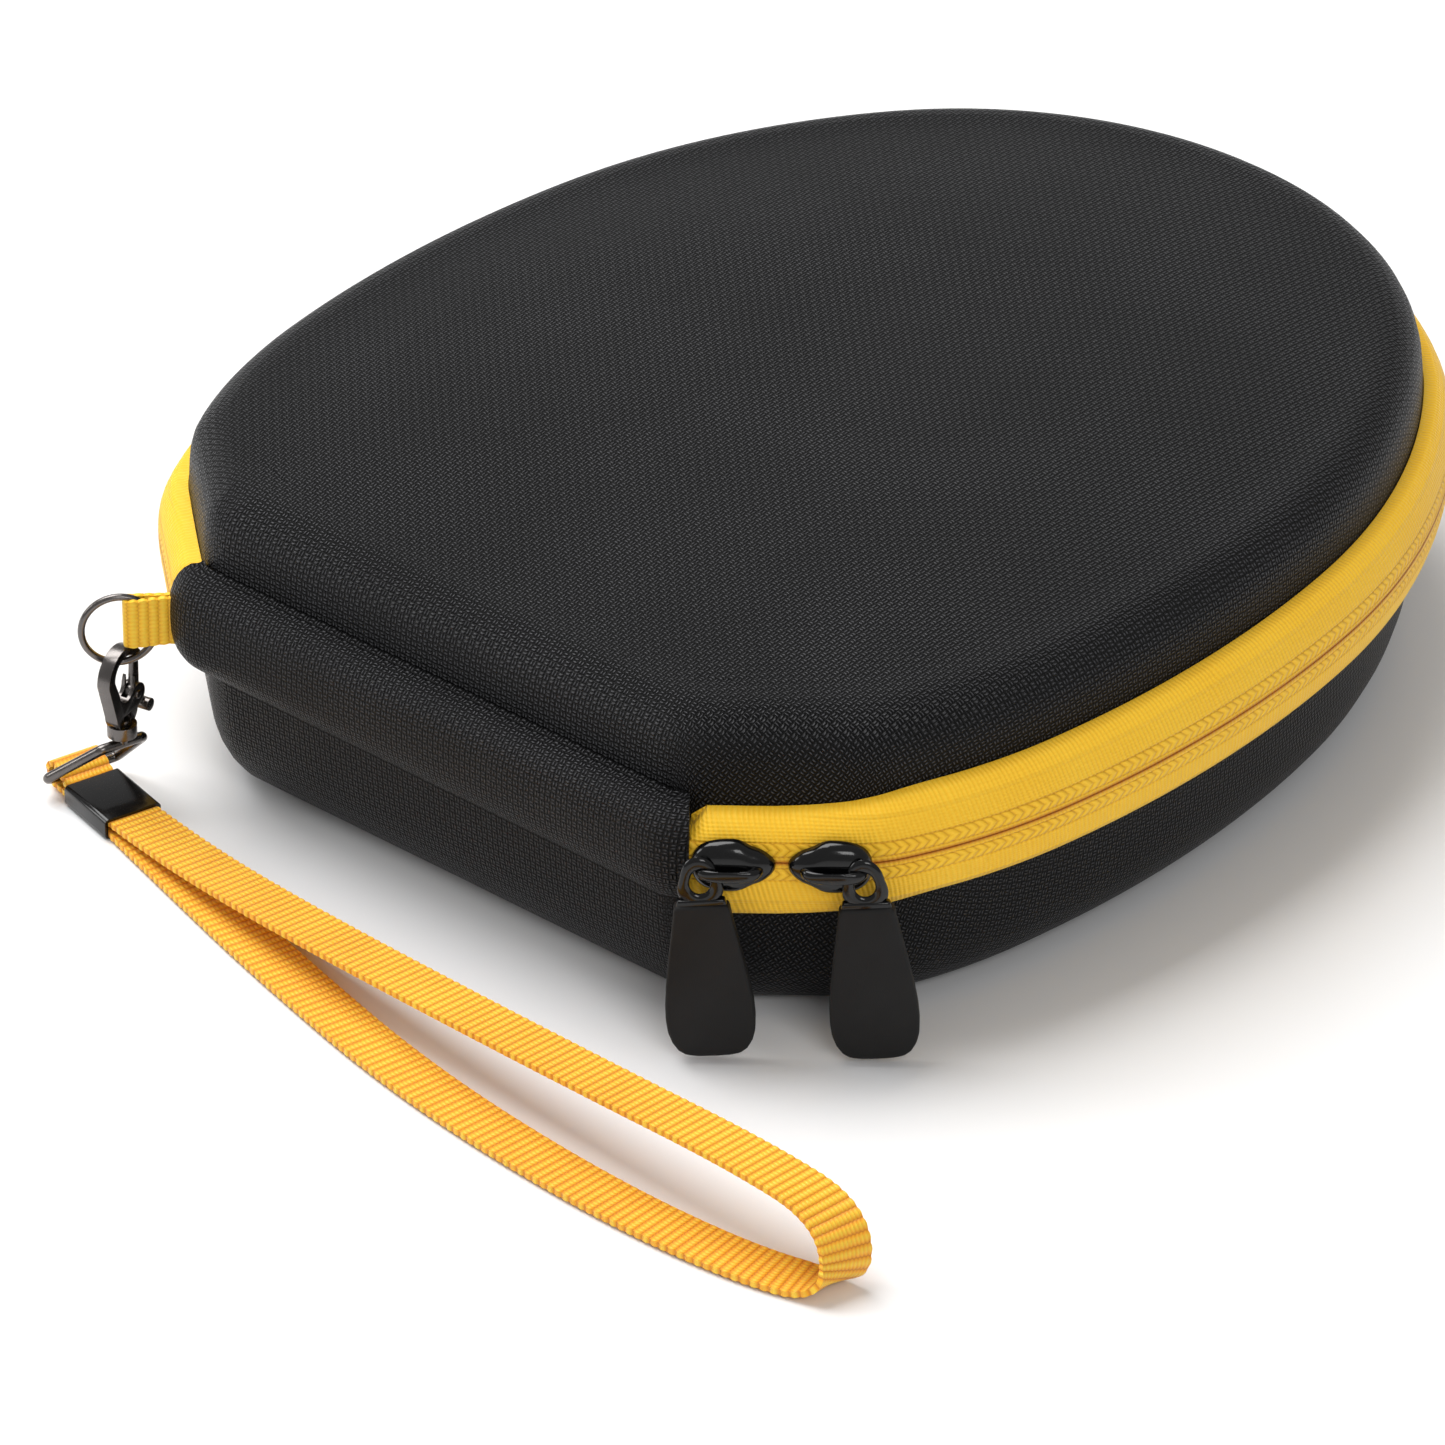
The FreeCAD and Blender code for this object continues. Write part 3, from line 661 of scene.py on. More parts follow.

# %% [markdown]
# ## The zip's tape
# Each half of the zip is a woven tape, sewn to the shell along its far edge and bulging out to the
# zip line. Its ribs lean a little. A row of chain stitches that holds the coil runs beside the
# meeting line, and a welt runs near the sewn edge. Those follow the tape, so they read the tape's
# own UVs: distance along the zip and height from its line. The finish paints the rib crowns and stitches
# lighter and the troughs and the meeting line darker: painted highlight and painted shade.


# %% Tape finish
def ribbed_tape(name):
    bench = Bench(name, **{
        "Specular IOR Level": 0.35, "Sheen Weight": 0.25, "Sheen Roughness": 0.4,
        "Sheen Tint": (1.0, 0.85, 0.5, 1.0)})
    u, v = bench.uv()
    side = abs(v)
    ribs = ((u / 0.00092 + v * 260.0) * TURN).sin() * 0.5 + 0.5
    picks = ((v / 0.00055) * TURN).sin() * 0.5 + 0.5
    in_row = (side > 0.0011) * (side < 0.0036)
    vee = (u / 0.0019 + abs(side - 0.00235) * 560.0) % 1.0
    stitch = (1.0 - abs(vee * 2.0 - 1.0) ** 2.0) * in_row
    trough = 1.0 - (abs(side - 0.0011) / 0.0003).clamp() * (abs(side - 0.0037) / 0.0003).clamp()
    welt = 1.0 - (abs(side - 0.0082) / 0.0007).clamp()
    # Dark orange is painted along the meeting line, in the gap where the two tapes meet: painted shade.
    meeting_line_shade = 1.0 - (side / 0.0008).clamp()
    patch = bench.noise(45.0, 2.0)
    weave = ribs * 0.55 + picks * 0.25
    bench.relief(
        weave * (1.0 - in_row) + stitch * 1.5 + welt * 1.2 - trough * 0.9, 0.00022, 0.85)
    # Painted highlight on the rib crowns and stitches, painted shade in the troughs. The stitch row as a
    # whole is set a little darker, and the patch noise is random tone.
    light = (weave * 0.35 * (1.0 - in_row) + 0.38 + stitch * 0.32 - trough * 0.3 - in_row * 0.12
             + (patch - 0.5) * 0.3).clamp()
    yarn = bench.ramp(
        light, (0.0, (0.68, 0.27, 0.005, 1)), (1.0, (1.0, 0.68, 0.060, 1)),
        (0.45, (1.0, 0.56, 0.018, 1)))
    return bench.set(
        Base_Color=bench.blend(meeting_line_shade, yarn, (0.45, 0.10, 0.004)),
        Roughness=0.66 - ribs * 0.10)


tape_cloth = ribbed_tape("zip_tape_yellow")


def strip(name, rows, facing):
    """A strip with no thickness that follows the outline, from its section's rows."""
    piece = outline_face(name, *rows[0], facing)
    stack(piece, rows)
    open_end(piece)
    return piece


def band_piece(name, rows, facing, thickness, zip_only=False):
    """A strip with a wall's thickness, either all the way round or beside the zip only."""
    piece = strip(name, rows, facing)
    if zip_only:
        keep_side(piece, False)
    apply_modifier(piece, "SOLIDIFY", thickness=thickness, offset=-1.0, use_even_offset=True)
    return piece


tape_rise = 0.0104        # the sewn edge, from the zip line
still_rise = 0.003        # nothing nearer the zip line moves
dip_depth = 0.0027
dip_start = 0.012         # the dip is deepest up to here from the seam
dip_run = 0.034
end_radius = 0.0034


def shape_tape_ends(piece, facing):
    """Round the sewn edge's corner at each seam, where the zip also runs a little lower."""
    around, _, _ = closest(vertex_places(piece))
    from_seam = np.abs(around) - seam_along - hinge_half
    for vertex, gap in zip(piece.data.vertices, from_seam):
        rise = (vertex.co.z - zip_z) * facing
        if rise <= still_rise or gap > dip_start + dip_run:
            continue
        settle = max(0.0, min(1.0, (gap - dip_start) / dip_run))
        top = tape_rise - facing * dip_depth * (1 - settle * settle * (3 - 2 * settle))
        round_in = max(0.0, 1 - gap / end_radius)
        top -= end_radius * (1 - math.sqrt(1 - min(1.0, round_in) ** 2))
        stretch = (top - still_rise) / (tape_rise - still_rise)
        vertex.co.z = zip_z + facing * (still_rise + (rise - still_rise) * stretch)


tape_up = section(1, (0.75, 0.12), (0.6, 0.5), (0.62, 1.4), (0.75, 2.8), (1.05, 4.6), (1.5, 6.2),
                  (2.1, 7.6), (2.75, 8.8), (3.4, 9.7), (4.2, 10.3), (5.2, 10.4), (6.2, 10.1))
tape_down = section(-1, (0.75, 0.12), (0.6, 0.5), (0.62, 1.4), (0.7, 2.8), (0.9, 4.4), (1.25, 6.0),
                    (1.7, 7.4), (2.2, 8.5), (2.9, 9.4), (3.9, 9.8), (5.0, 9.7), (6.0, 9.3))
for name, body, node, rows, facing in (
        ("tape_upper", "lid", "zipper_tape_upper", tape_up, 1),
        ("tape_lower", "base", "zipper_tape_lower", tape_down, -1)):
    tape_piece = band_piece(name, rows, facing, 0.0008, zip_only=True)
    shape_tape_ends(tape_piece, facing)
    dress(tape_piece, rows, "round", body, tape_cloth, "zip_tape", node)

# %% [markdown]
# ## The hinge spine
# At the hinge there is no zip: the cover cloth itself runs from lid to base as one soft bulge that
# folds when the case opens. It is made as two stacks of insets that meet on the zip line, and joined.

# %% Spine
spine_up = section(1, (0.0, 0.0), (0.02, 1.2), (0.12, 3.0), (0.4, 4.8), (0.95, 6.5), (1.8, 8.0),
                   (2.9, 9.2), (4.2, 9.9), (5.4, 9.9), (6.4, 9.5))
spine_down = section(-1, (0.0, 0.0), (0.02, 1.2), (0.12, 3.0), (0.4, 4.8), (0.95, 6.4), (1.8, 7.8),
                     (2.9, 8.8), (4.1, 9.3), (5.2, 9.3), (6.2, 9.0))
halves = []
for name, rows, facing in (("spine_top", spine_up, 1), ("spine_bottom", spine_down, -1)):
    half = strip(name, rows, facing)
    keep_side(half, True)
    halves.append(half)
only(halves[0])
halves[1].select_set(True)
bpy.ops.object.join()
spine = bpy.context.object
spine.name = "hinge_spine"
tidy_mesh(spine, 0.00003)
apply_modifier(spine, "SOLIDIFY", thickness=0.0014, offset=-1.0)
places = vertex_places(spine)
_, inset_spine, _ = closest(places)
rise = places[:, 2] - zip_z
bulge_share = 0.7         # how much of the inset adds to the cloth's height when it is laid flat
down = rise + np.sign(rise) * np.maximum(inset_spine, 0) * bulge_share
set_uv(spine.data, np.stack([places[:, 1], down], axis=1))
smooth(spine, 50)
finish_piece(spine, None, shell_cloth, "spine_fabric", "spine_lower", "spine_upper")
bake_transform(spine)

# %% [markdown]
# ## The zip's coil
# Behind each tape's free edge runs a coil of nylon. One turn of it is a small rounded bar, modelled
# once from a sphere. Its mesh is then repeated along the outline in one piece, with the two rows
# half a pitch apart so that they would mesh.

# %% Coil teeth
bench = Bench("coil_nylon", **{"Roughness": 0.32, "Specular IOR Level": 0.5, "Coat Weight": 0.15})
coil_grain = bench.noise(700.0)
bench.relief(coil_grain, 0.00005)
coil_nylon = bench.set(Base_Color=bench.blend(coil_grain, (0.70, 0.24, 0.006), (1.0, 0.48, 0.02)))

nothing()
bpy.ops.mesh.primitive_uv_sphere_add(segments=8, ring_count=5, radius=1.0)
tooth = started("coil_tooth")
bpy.ops.object.mode_set(mode="EDIT")
bpy.ops.mesh.select_all(action="SELECT")
bpy.ops.transform.resize(value=(0.00042, 0.00095, 0.0008))
done()
tooth_places = vertex_places(tooth)
tooth_faces = [tuple(face.vertices) for face in tooth.data.polygons]
bpy.data.objects.remove(tooth)
pitch = 0.0012
coil_inset = 0.0027
coil_rise = 0.00118
for name, body, node, facing, phase in (
        ("coil_upper", "lid", "zipper_coil_upper", 1, 0.0),
        ("coil_lower", "base", "zipper_coil_lower", -1, 0.5)):
    stations = np.arange(seam_along + 0.0012 + phase * pitch, line_along[-1], pitch)
    picks = np.searchsorted(line_along, stations).clip(0, len(line) - 1)
    teeth = []
    for side in (1, -1):
        for i in picks:
            out = np.array([line_out[i][0], side * line_out[i][1]])
            run = np.array([-out[1], out[0]])
            middle = np.array([line[i][0], side * line[i][1]]) - out * coil_inset
            flat = middle + tooth_places[:, :1] * run + tooth_places[:, 1:2] * out
            height = tooth_places[:, 2:] + zip_z + facing * coil_rise
            teeth.append(np.hstack([flat, height]))
    count = len(tooth_places)
    faces = [tuple(v + k * count for v in face) for k in range(len(teeth)) for face in tooth_faces]
    coil_mesh = bpy.data.meshes.new(name)
    coil_mesh.from_pydata(np.vstack(teeth).tolist(), [], faces)
    coil_piece = new_piece(name, coil_mesh)
    smooth(coil_piece, 60)
    finish_piece(coil_piece, body, coil_nylon, "zip_coil", node)

# %% [markdown]
# ## Inside: fleece lining and binding
# The inside is brushed fleece, glued to the foam. A woven binding covers the raw edge where shell
# and tape are sewn together. Both are again stacks of insets, now seen from within.

# %% Lining and binding finishes
bench = Bench("fleece_black", **{
    "Roughness": 0.95, "Specular IOR Level": 0.15, "Sheen Weight": 0.6, "Sheen Roughness": 0.6,
    "Sheen Tint": (0.7, 0.7, 0.75, 1.0)})
nap = bench.noise(2600.0, 4.0, 0.7)
drift = bench.noise(38.0, 3.0)
bench.relief(nap, 0.0004, 0.8)
fleece = bench.set(Base_Color=bench.blend(
    (nap * 0.5 + drift * 0.5).clamp(), (0.006, 0.006, 0.007), (0.035, 0.035, 0.038)))

bench = Bench("binding_black", **{"Roughness": 0.7, "Sheen Weight": 0.2})
u, v = bench.uv()
grosgrain = (u / 0.0009 * TURN).sin() * 0.5 + 0.5
bench.relief(grosgrain, 0.0002, 0.9)
# The colour follows the ribs. Crowns are painted lighter and grooves darker: painted highlight and
# painted shade.
binding_cloth = bench.set(Base_Color=bench.blend(grosgrain, (0.005, 0.005, 0.005), (0.03, 0.03, 0.032)))

# %% [markdown]
# The fleece follows the inner skin of each cover, so the two bowls have their own sections. The
# binding has one section, used right way up in the lid and upside down in the base.

# %% Lining and binding pieces
lid_bowl = section(1, (10.0, 5.4), (10.05, 9.1), (10.3, 13.3), (11.4, 17.0), (13.4, 19.0),
                   (16.6, 19.9), (19.6, 20.2))
base_bowl = section(-1, (10.0, 5.4), (10.05, 14.0), (10.7, 20.7), (11.3, 23.8), (12.3, 26.6),
                    (13.6, 29.0), (15.2, 31.0), (17.1, 32.6), (19.2, 33.6), (21.6, 33.9))
for name, body, node, facing, rows in (
        ("lid_fleece", "lid", "lid_lining", 1, lid_bowl),
        ("base_fleece", "base", "base_lining", -1, base_bowl)):
    lining_piece = outline_face(name, *rows[0], facing, lining_corner)
    stack(lining_piece, rows)
    apply_modifier(lining_piece, "SOLIDIFY", thickness=0.0008, offset=-1.0)
    smooth(lining_piece, 50)
    finish_piece(lining_piece, body, fleece, "lining_fleece", node)
for name, body, node, facing in (
        ("lid_edge_binding", "lid", "lid_binding", 1), ("base_edge_binding", "base", "base_binding", -1)):
    rows = section(facing, (4.6, 3.5), (5.2, 3.3), (6.6, 3.2), (8.4, 3.3), (9.8, 3.7),
                   (10.6, 4.5), (10.9, 5.5), (10.95, 6.6))
    binding_piece = band_piece(name, rows[1:], facing, 0.0010)
    dress(binding_piece, rows, "round", body, binding_cloth, "binding_tape", node)

# %% [markdown]
# ## The pocket in the lid
# Half of the lid is closed by a net, stretched from the edges and hemmed with gathered elastic.
# The net is one thin sheet whose holes are cut by transparency, since hundreds of real threads
# would cost more than they show. The elastic is a strip whose gathers are a small wave in its mesh.

# %% Net and elastic
bench = Bench("pocket_net_black", **{"Roughness": 0.6, "Sheen Weight": 0.2})
u, v = bench.uv()
net_pitch = 0.0021
p = u / net_pitch
q = v / net_pitch
thread = (abs((p + q) % 1.0 - 0.5) * 2.0).largest(abs((p - q) % 1.0 - 0.5) * 2.0)
bench.relief(thread, 0.0003)
# The colour follows the thread's profile and is lighter along the middle of each thread: a painted
# highlight.
net_cloth = bench.set(
    Base_Color=bench.blend(thread, (0.004, 0.004, 0.004), (0.03, 0.03, 0.03)), Alpha=thread > 0.62)
edge_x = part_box("pocket_elastic")[0][0] + 0.0004
net_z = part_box("pocket_net")[0][2] + 0.0003
net = outline_face("pocket_net_sheet", 0.0110, net_z, 1, net_corner, spacing=0.004)
pick(net, lambda *_: True)
bpy.ops.mesh.bisect(plane_co=(edge_x, 0, net_z), plane_no=(1, 0, 0), clear_outer=True)
done()
net_middle = Vector((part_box("pocket_net")[0][0] * 0.5, 0.0, net_z))
pick(net, lambda *_: True)
bpy.ops.mesh.inset(thickness=0.0010, depth=0.0)
size = 1.0
for ring in (0.92, 0.82, 0.70, 0.56, 0.42, 0.28, 0.14):
    bpy.ops.mesh.extrude_region_move(TRANSFORM_OT_translate={"value": (0, 0, -0.00018)})
    bpy.ops.transform.resize(value=(ring / size, ring / size, 1.0), center_override=net_middle)
    size = ring
bpy.ops.mesh.extrude_region_move(TRANSFORM_OT_translate={"value": (0, 0, -0.0001)})
bpy.ops.mesh.merge(type="CENTER")
done()
net_places = vertex_places(net)
set_uv(net.data, net_places[:, :2])
smooth(net, 60)
finish_piece(net, "lid", net_cloth, "pocket_mesh", "pocket_net")

bench = Bench("elastic_black", **{"Roughness": 0.65, "Sheen Weight": 0.25})
across_band = bench.node("ShaderNodeSeparateXYZ", {}, {0: bench.place()})
rib = (Wave(bench, across_band.outputs[2]) / 0.0006 * TURN).sin() * 0.5 + 0.5
bench.relief(rib, 0.0002)
# The colour follows the ribs. Crowns are painted lighter and grooves darker: painted highlight and
# painted shade.
elastic_cloth = bench.set(Base_Color=bench.blend(rib, (0.006, 0.006, 0.006), (0.035, 0.035, 0.037)))
low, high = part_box("pocket_elastic")
nothing()
bpy.ops.mesh.primitive_grid_add(x_subdivisions=360, y_subdivisions=4, size=1.0)
elastic = started("pocket_elastic_hem")
bpy.ops.object.mode_set(mode="EDIT")
bpy.ops.mesh.select_all(action="SELECT")
bpy.ops.transform.resize(value=((high[1] - low[1]) * 0.996, high[2] - low[2], 1.0))
done()
for vertex in elastic.data.vertices:
    y, z, _ = vertex.co
    ruffle = 0.0004 * math.sin(TURN * y / 0.0034) * (0.6 + 0.4 * math.sin(TURN * y / 0.021))
    vertex.co = ((low[0] + high[0]) / 2 + ruffle, y, (low[2] + high[2]) / 2 + z)
apply_modifier(elastic, "SOLIDIFY", thickness=0.0014, offset=0.0)
apply_modifier(elastic, "BEVEL", width=0.0003, segments=2, limit_method="ANGLE")
smooth(elastic, 50)
finish_piece(elastic, "lid", elastic_cloth, "elastic", "pocket_elastic")

# %% [markdown]
# ## Webbing
# Tab, end loop and wrist strap are the same ribbed webbing. Thick cross ribs give it a scalloped
# edge, so the ribs are in the mesh; the yarns on them are in the finish. A ribbon is laid along a
# line with its width kept in one direction. The finish paints the rib crowns bright yellow and the
# grooves dark orange: painted highlight and painted shade.

# %% Webbing finish and ribbon
rib_pitch = 0.0018
scallop = 0.00025         # how far a rib stands out at the ribbon's edge
rib_lift = 0.00010


def webbing(name, groove_shade, middle, crown_highlight):
    bench = Bench(name, **{
        "Specular IOR Level": 0.45, "Sheen Weight": 0.2, "Sheen Roughness": 0.35,
        "Sheen Tint": (1.0, 0.85, 0.5, 1.0)})
    u, v = bench.uv()
    rib = abs((u / rib_pitch * math.pi).sin())
    yarn = ((v / 0.0008 + (u / rib_pitch).floor() * 0.5) * TURN).sin() * 0.5 + 0.5
    twist = ((v / 0.00027 + u / 0.0009) * TURN).sin() * 0.5 + 0.5
    patch = bench.noise(60.0, 2.0)
    bench.relief(rib * 0.8 + yarn * rib * 0.5 + twist * 0.15, 0.00028, 0.9)
    # Rib crowns take the bright stop and grooves take the dark stop: painted highlight and painted shade.
    # The patch noise is random tone.
    light = (rib * 0.55 + yarn * 0.2 + twist * 0.12 + (patch - 0.5) * 0.3 + 0.08).clamp()
    return bench.set(
        Base_Color=bench.ramp(light, (0.0, groove_shade), (1.0, crown_highlight), (0.5, middle)),
        Roughness=0.58 - twist * 0.18)


# The strap and its end loop get a darker, more orange copy of the tab's webbing colours: painted shade.
strap_cloth_shaded = webbing(
    "strap_webbing_yellow_shaded", (0.48, 0.11, 0.001, 1), (0.93, 0.37, 0.006, 1), (1.0, 0.70, 0.055, 1))
tab_cloth = webbing(
    "tab_webbing_yellow", (0.62, 0.25, 0.005, 1), (1.0, 0.55, 0.022, 1), (1.0, 0.70, 0.06, 1))


def ribbon(name, line_points, wide, width, thickness, columns=8, step=0.00045):
    """Ribbed webbing laid along a line, its width kept along one direction."""
    points = np.asarray(line_points, float)
    gone = np.concatenate([[0], np.linalg.norm(np.diff(points, axis=0), axis=1).cumsum()])
    count = int(gone[-1] / step)
    at = np.linspace(0, gone[-1], count + 1)
    path = np.stack([np.interp(at, gone, points[:, k]) for k in range(3)], axis=1)
    tangent = np.gradient(path, axis=0)
    tangent /= np.linalg.norm(tangent, axis=1, keepdims=True)
    side = np.array(wide) - tangent * (tangent @ np.array(wide))[:, None]
    side /= np.linalg.norm(side, axis=1, keepdims=True)
    up = np.cross(tangent, side)
    rib = np.abs(np.sin(math.pi * at / rib_pitch))
    half = width / 2 - scallop + scallop * rib
    share = np.linspace(-1, 1, columns + 1)
    lift = (rib_lift * rib)[:, None] * np.ones(columns + 1)
    middle = path[:, None, :] + side[:, None, :] * (half[:, None] * share)[:, :, None]
    rows = middle + up[:, None, :] * lift[:, :, None]
    places = rows.reshape(-1, 3)
    faces = [(r * (columns + 1) + c, r * (columns + 1) + c + 1,
              (r + 1) * (columns + 1) + c + 1, (r + 1) * (columns + 1) + c)
             for r in range(count) for c in range(columns)]
    mesh = bpy.data.meshes.new(name)
    mesh.from_pydata(places.tolist(), [], faces)
    set_uv(mesh, np.stack([np.repeat(at, columns + 1), (half[:, None] * share).ravel()], axis=1))
    piece = new_piece(name, mesh)
    apply_modifier(piece, "SOLIDIFY", thickness=thickness, offset=0.0)
    smooth(piece, 60)
    return piece


# %% [markdown]
# ## Wrist strap
# The strap follows the line laid out at the start. Its end loop is a short ribbon of the same
# webbing: out of the ferrule on top, round the bar of the swivel eye and back in below.

# %% The wrist strap and its end loop
strap = ribbon("wrist_strap_webbing", strap_line, across, 0.0100, 0.0011)
finish_piece(strap, "strap", strap_cloth_shaded, "strap_webbing", "wrist_strap")
ferrule_low, ferrule_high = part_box("strap_ferrule")
ferrule_middle = (Vector(ferrule_low) + Vector(ferrule_high)) / 2
back = Vector((0.2496, 0.9684, 0.0))


def on_ferrule(distance, z):
    return tuple(ferrule_middle.xy.to_3d() + back * distance / 1000 + Vector((0, 0, z / 1000)))


loop_line = spline_line([on_ferrule(*p) for p in (
    (-5, 2.7), (3, 2.7), (8, 2.8), (10.6, 4.9), (13.2, 5.6), (14.9, 3.6), (13.4, 1.2),
    (10.6, 1.15), (7, 1.27), (3, 1.27), (-5, 1.27))], "loop_line")
end_loop = ribbon("strap_end_webbing", loop_line, across, 0.0098, 0.0011)
finish_piece(end_loop, "strap", strap_cloth_shaded, "strap_webbing", "strap_end_loop")

# %% [markdown]
# ## Ring tab
# The tab is a short fold of webbing that stands on edge. Its two ends are sewn into the seam and
# the ring hangs in the fold, so it is one more ribbon on a line of its own.

# %% The ring tab
tab_run = Vector((math.sin(seam_turn), math.cos(seam_turn), 0.0))
tab_out = Vector((-math.cos(seam_turn), math.sin(seam_turn), 0.0))
tab_foot = Vector((seam[0], -seam[1], 0.0))
tab_z = (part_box("ring_tab")[0][2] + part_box("ring_tab")[1][2]) / 2 + 0.0004


def on_tab(run, out):
    return tuple(tab_foot + tab_run * run / 1000 + tab_out * out / 1000 + Vector((0, 0, tab_z)))


tab_line = spline_line([on_tab(*p) for p in (
    (-0.6, -1.6), (-0.65, 1.5), (-1.1, 5.0), (-1.2, 7.9), (1.2, 7.9), (1.1, 5.0), (0.65, 1.5),
    (0.6, -1.6))], "tab_line")
tab = ribbon("ring_tab_webbing", tab_line, (0, 0, 1), 0.0096, 0.0009)
finish_piece(tab, "tab", tab_cloth, "tab_webbing", "ring_tab")

# %% [markdown]
# ## Metal and rubber
# The ring, the clasp, the eye and the ferrule are bent, cast or pressed metal, whose solids have
# the right shape but knife-sharp edges. A copy of each solid is merged, its flat faces are joined
# and every edge gets a small rounded bevel, because the rounded edge catches the light.


# %% Metal and rubber finishes
def lacquer(name, base, rough):
    bench = Bench(name, **{"Coat Weight": 0.2, "Coat Roughness": 0.04, "Specular IOR Level": 0.3})
    peel = bench.noise(900.0, 2.0)
    dust = bench.noise(3800.0, 4.0, 0.7)
    rub = bench.noise(160.0, 3.0)
    bench.relief(peel, 0.00002, 0.5)
    return bench.set(
        Base_Color=bench.blend((dust * 0.7 + rub * 0.3).clamp(), base, tuple(3.0 * c for c in base)),
        Roughness=rough + rub * 0.14 + (dust > 0.62) * 0.12)


def plated(name, base, rough):
    bench = Bench(name, **{"Metallic": 1.0})
    smudge = bench.noise(240.0, 4.0)
    scuff = bench.noise(2400.0, 3.0, 0.7)
    bench.relief(scuff, 0.000015, 0.4)
    return bench.set(
        Base_Color=bench.blend(smudge, base, tuple(1.9 * c for c in base)),
        Roughness=rough + smudge * 0.16 + scuff * 0.05)


def soft_rubber(name, base):
    bench = Bench(name, **{"Specular IOR Level": 0.3})
    grain = bench.noise(4200.0, 3.0, 0.6)
    hand = bench.noise(110.0, 3.0)
    bench.relief(grain, 0.00006, 0.5)
    return bench.set(
        Base_Color=bench.blend((hand * 0.7 + grain * 0.3).clamp(), base, tuple(1.7 * c for c in base)),
        Roughness=0.52 + hand * 0.22)


slider_black = lacquer("slider_lacquer_black", (0.0010, 0.0010, 0.0011), 0.08)
ferrule_black = lacquer("ferrule_lacquer_black", (0.0014, 0.0013, 0.0013), 0.10)
gunmetal = plated("gunmetal_plating", (0.10, 0.092, 0.088), 0.15)
tag_rubber = soft_rubber("tag_rubber_black", (0.0030, 0.0027, 0.0026))


def softened(node, name, edge, body, material, slot, segments=3, angle=28.0):
    """A copy of a solid with its edges rounded, standing for the solid."""
    piece = new_piece(name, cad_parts[node].data.copy())
    only(piece)
    bpy.ops.object.mode_set(mode="EDIT")
    bpy.ops.mesh.select_mode(type="VERT")
    bpy.ops.mesh.select_all(action="SELECT")
    bpy.ops.mesh.customdata_custom_splitnormals_clear()
    bpy.ops.mesh.remove_doubles(threshold=0.000004)
    bpy.ops.mesh.dissolve_limited(angle_limit=math.radians(2.0))
    done()
    apply_modifier(piece, "BEVEL", width=edge, segments=segments, limit_method="ANGLE",
                   angle_limit=math.radians(angle), use_clamp_overlap=True)
    smooth(piece, 40)
    finish_piece(piece, body, material, slot, node)


# %% [markdown]
# A slider is a domed plate pulled out of a sphere, with a bridge pulled out of a torus. A pull
# hangs on a flat stirrup that loops round that bridge and widens into a bar as wide as the rubber.
# The stirrup starts as a torus and its bar as a bevelled block. The rubber is a plate with a
# curved outline: narrow at the top, widest two thirds down, with soft corners.


# %% Sliders, stirrups and rubber pulls
run_axis = Vector((math.sin(seam_turn), -math.cos(seam_turn), 0.0))
out_axis = Vector((-math.cos(seam_turn), -math.sin(seam_turn), 0.0))


def hang(piece, along, near, out, lean=math.radians(4.0)):
    """Move a piece drawn round its own middle to its slider, with the pull's small lean."""
    foot = Vector((seam[0], seam[1], zip_z)) + run_axis * (along + near) + out_axis * out
    for vertex in piece.data.vertices:
        x, y, z = vertex.co
        x, z = x * math.cos(lean) - z * math.sin(lean), x * math.sin(lean) + z * math.cos(lean)
        vertex.co = foot + run_axis * x + out_axis * y + Vector((0, 0, z))
    tidy_mesh(piece, 0.000001)


def stirrup(name):
    nothing()
    bpy.ops.mesh.primitive_torus_add(
        major_radius=0.0029, minor_radius=0.00105, major_segments=40, minor_segments=12,
        rotation=(math.pi / 2, 0, 0))
    ring = started(name)
    for vertex in ring.data.vertices:
        x, y, z = vertex.co
        z = z * 1.28 - 0.0019
        low = max(0.0, -z - 0.001) / 0.005
        vertex.co = (x * (0.88 + 0.34 * low), y * 0.62, z)
    nothing()
    bpy.ops.mesh.primitive_cube_add(size=1.0, location=(0, 0, -0.00665))
    bpy.context.object.scale = (0.0095, 0.0017, 0.0030)
    bar = started(name + "_bar")
    for vertex in bar.data.vertices:
        if vertex.co.z > -0.006:
            vertex.co.x *= 0.86
    apply_modifier(bar, "BEVEL", width=0.00045, segments=3)
    only(ring)
    bar.select_set(True)
    bpy.ops.object.join()
    return ring


def slider_casting(name, nose):
    """A domed plate, blunt at the wings and drawn to a nose, with an arched bridge on top."""
    nothing()
    bpy.ops.mesh.primitive_uv_sphere_add(
        segments=64, ring_count=24, radius=1.0, rotation=(math.pi / 2, 0, 0))
    plate = started(name)
    for vertex in plate.data.vertices:
        x, y, z = vertex.co
        wing = 1.0 - 0.42 * max(0.0, x) ** 1.6
        x = x if x >= 0 else -abs(x) ** 0.72
        height = 0.0050 * wing * math.copysign(abs(z) ** 0.85, z)
        out = 0.0030 * abs(y) ** 0.8 if y > 0 else 0.0
        waist = 1.0 - 0.10 * math.exp(-((x - 0.45) / 0.2) ** 2)
        vertex.co = (nose * x * 0.0072, out, height * waist)
    nothing()
    bpy.ops.mesh.primitive_torus_add(
        major_radius=1.0, minor_radius=0.30, major_segments=56, minor_segments=14,
        rotation=(math.pi / 2, 0, 0))
    bridge = started(name + "_bridge")
    for vertex in bridge.data.vertices:
        x, y, z = vertex.co
        out = z * 0.0031 / (1 + abs(z) ** 3 * 0.15) + 0.0018
        x = math.copysign(abs(x) ** 0.8, x) * 0.0048 - nose * 0.0007
        vertex.co = (x, max(0.0004, out), y * 0.0036)
    only(plate)
    bridge.select_set(True)
    bpy.ops.object.join()
    return plate


pull_length = 30.5
top_half = 4.75
top_share = 0.12          # of the half circle that becomes the flat top


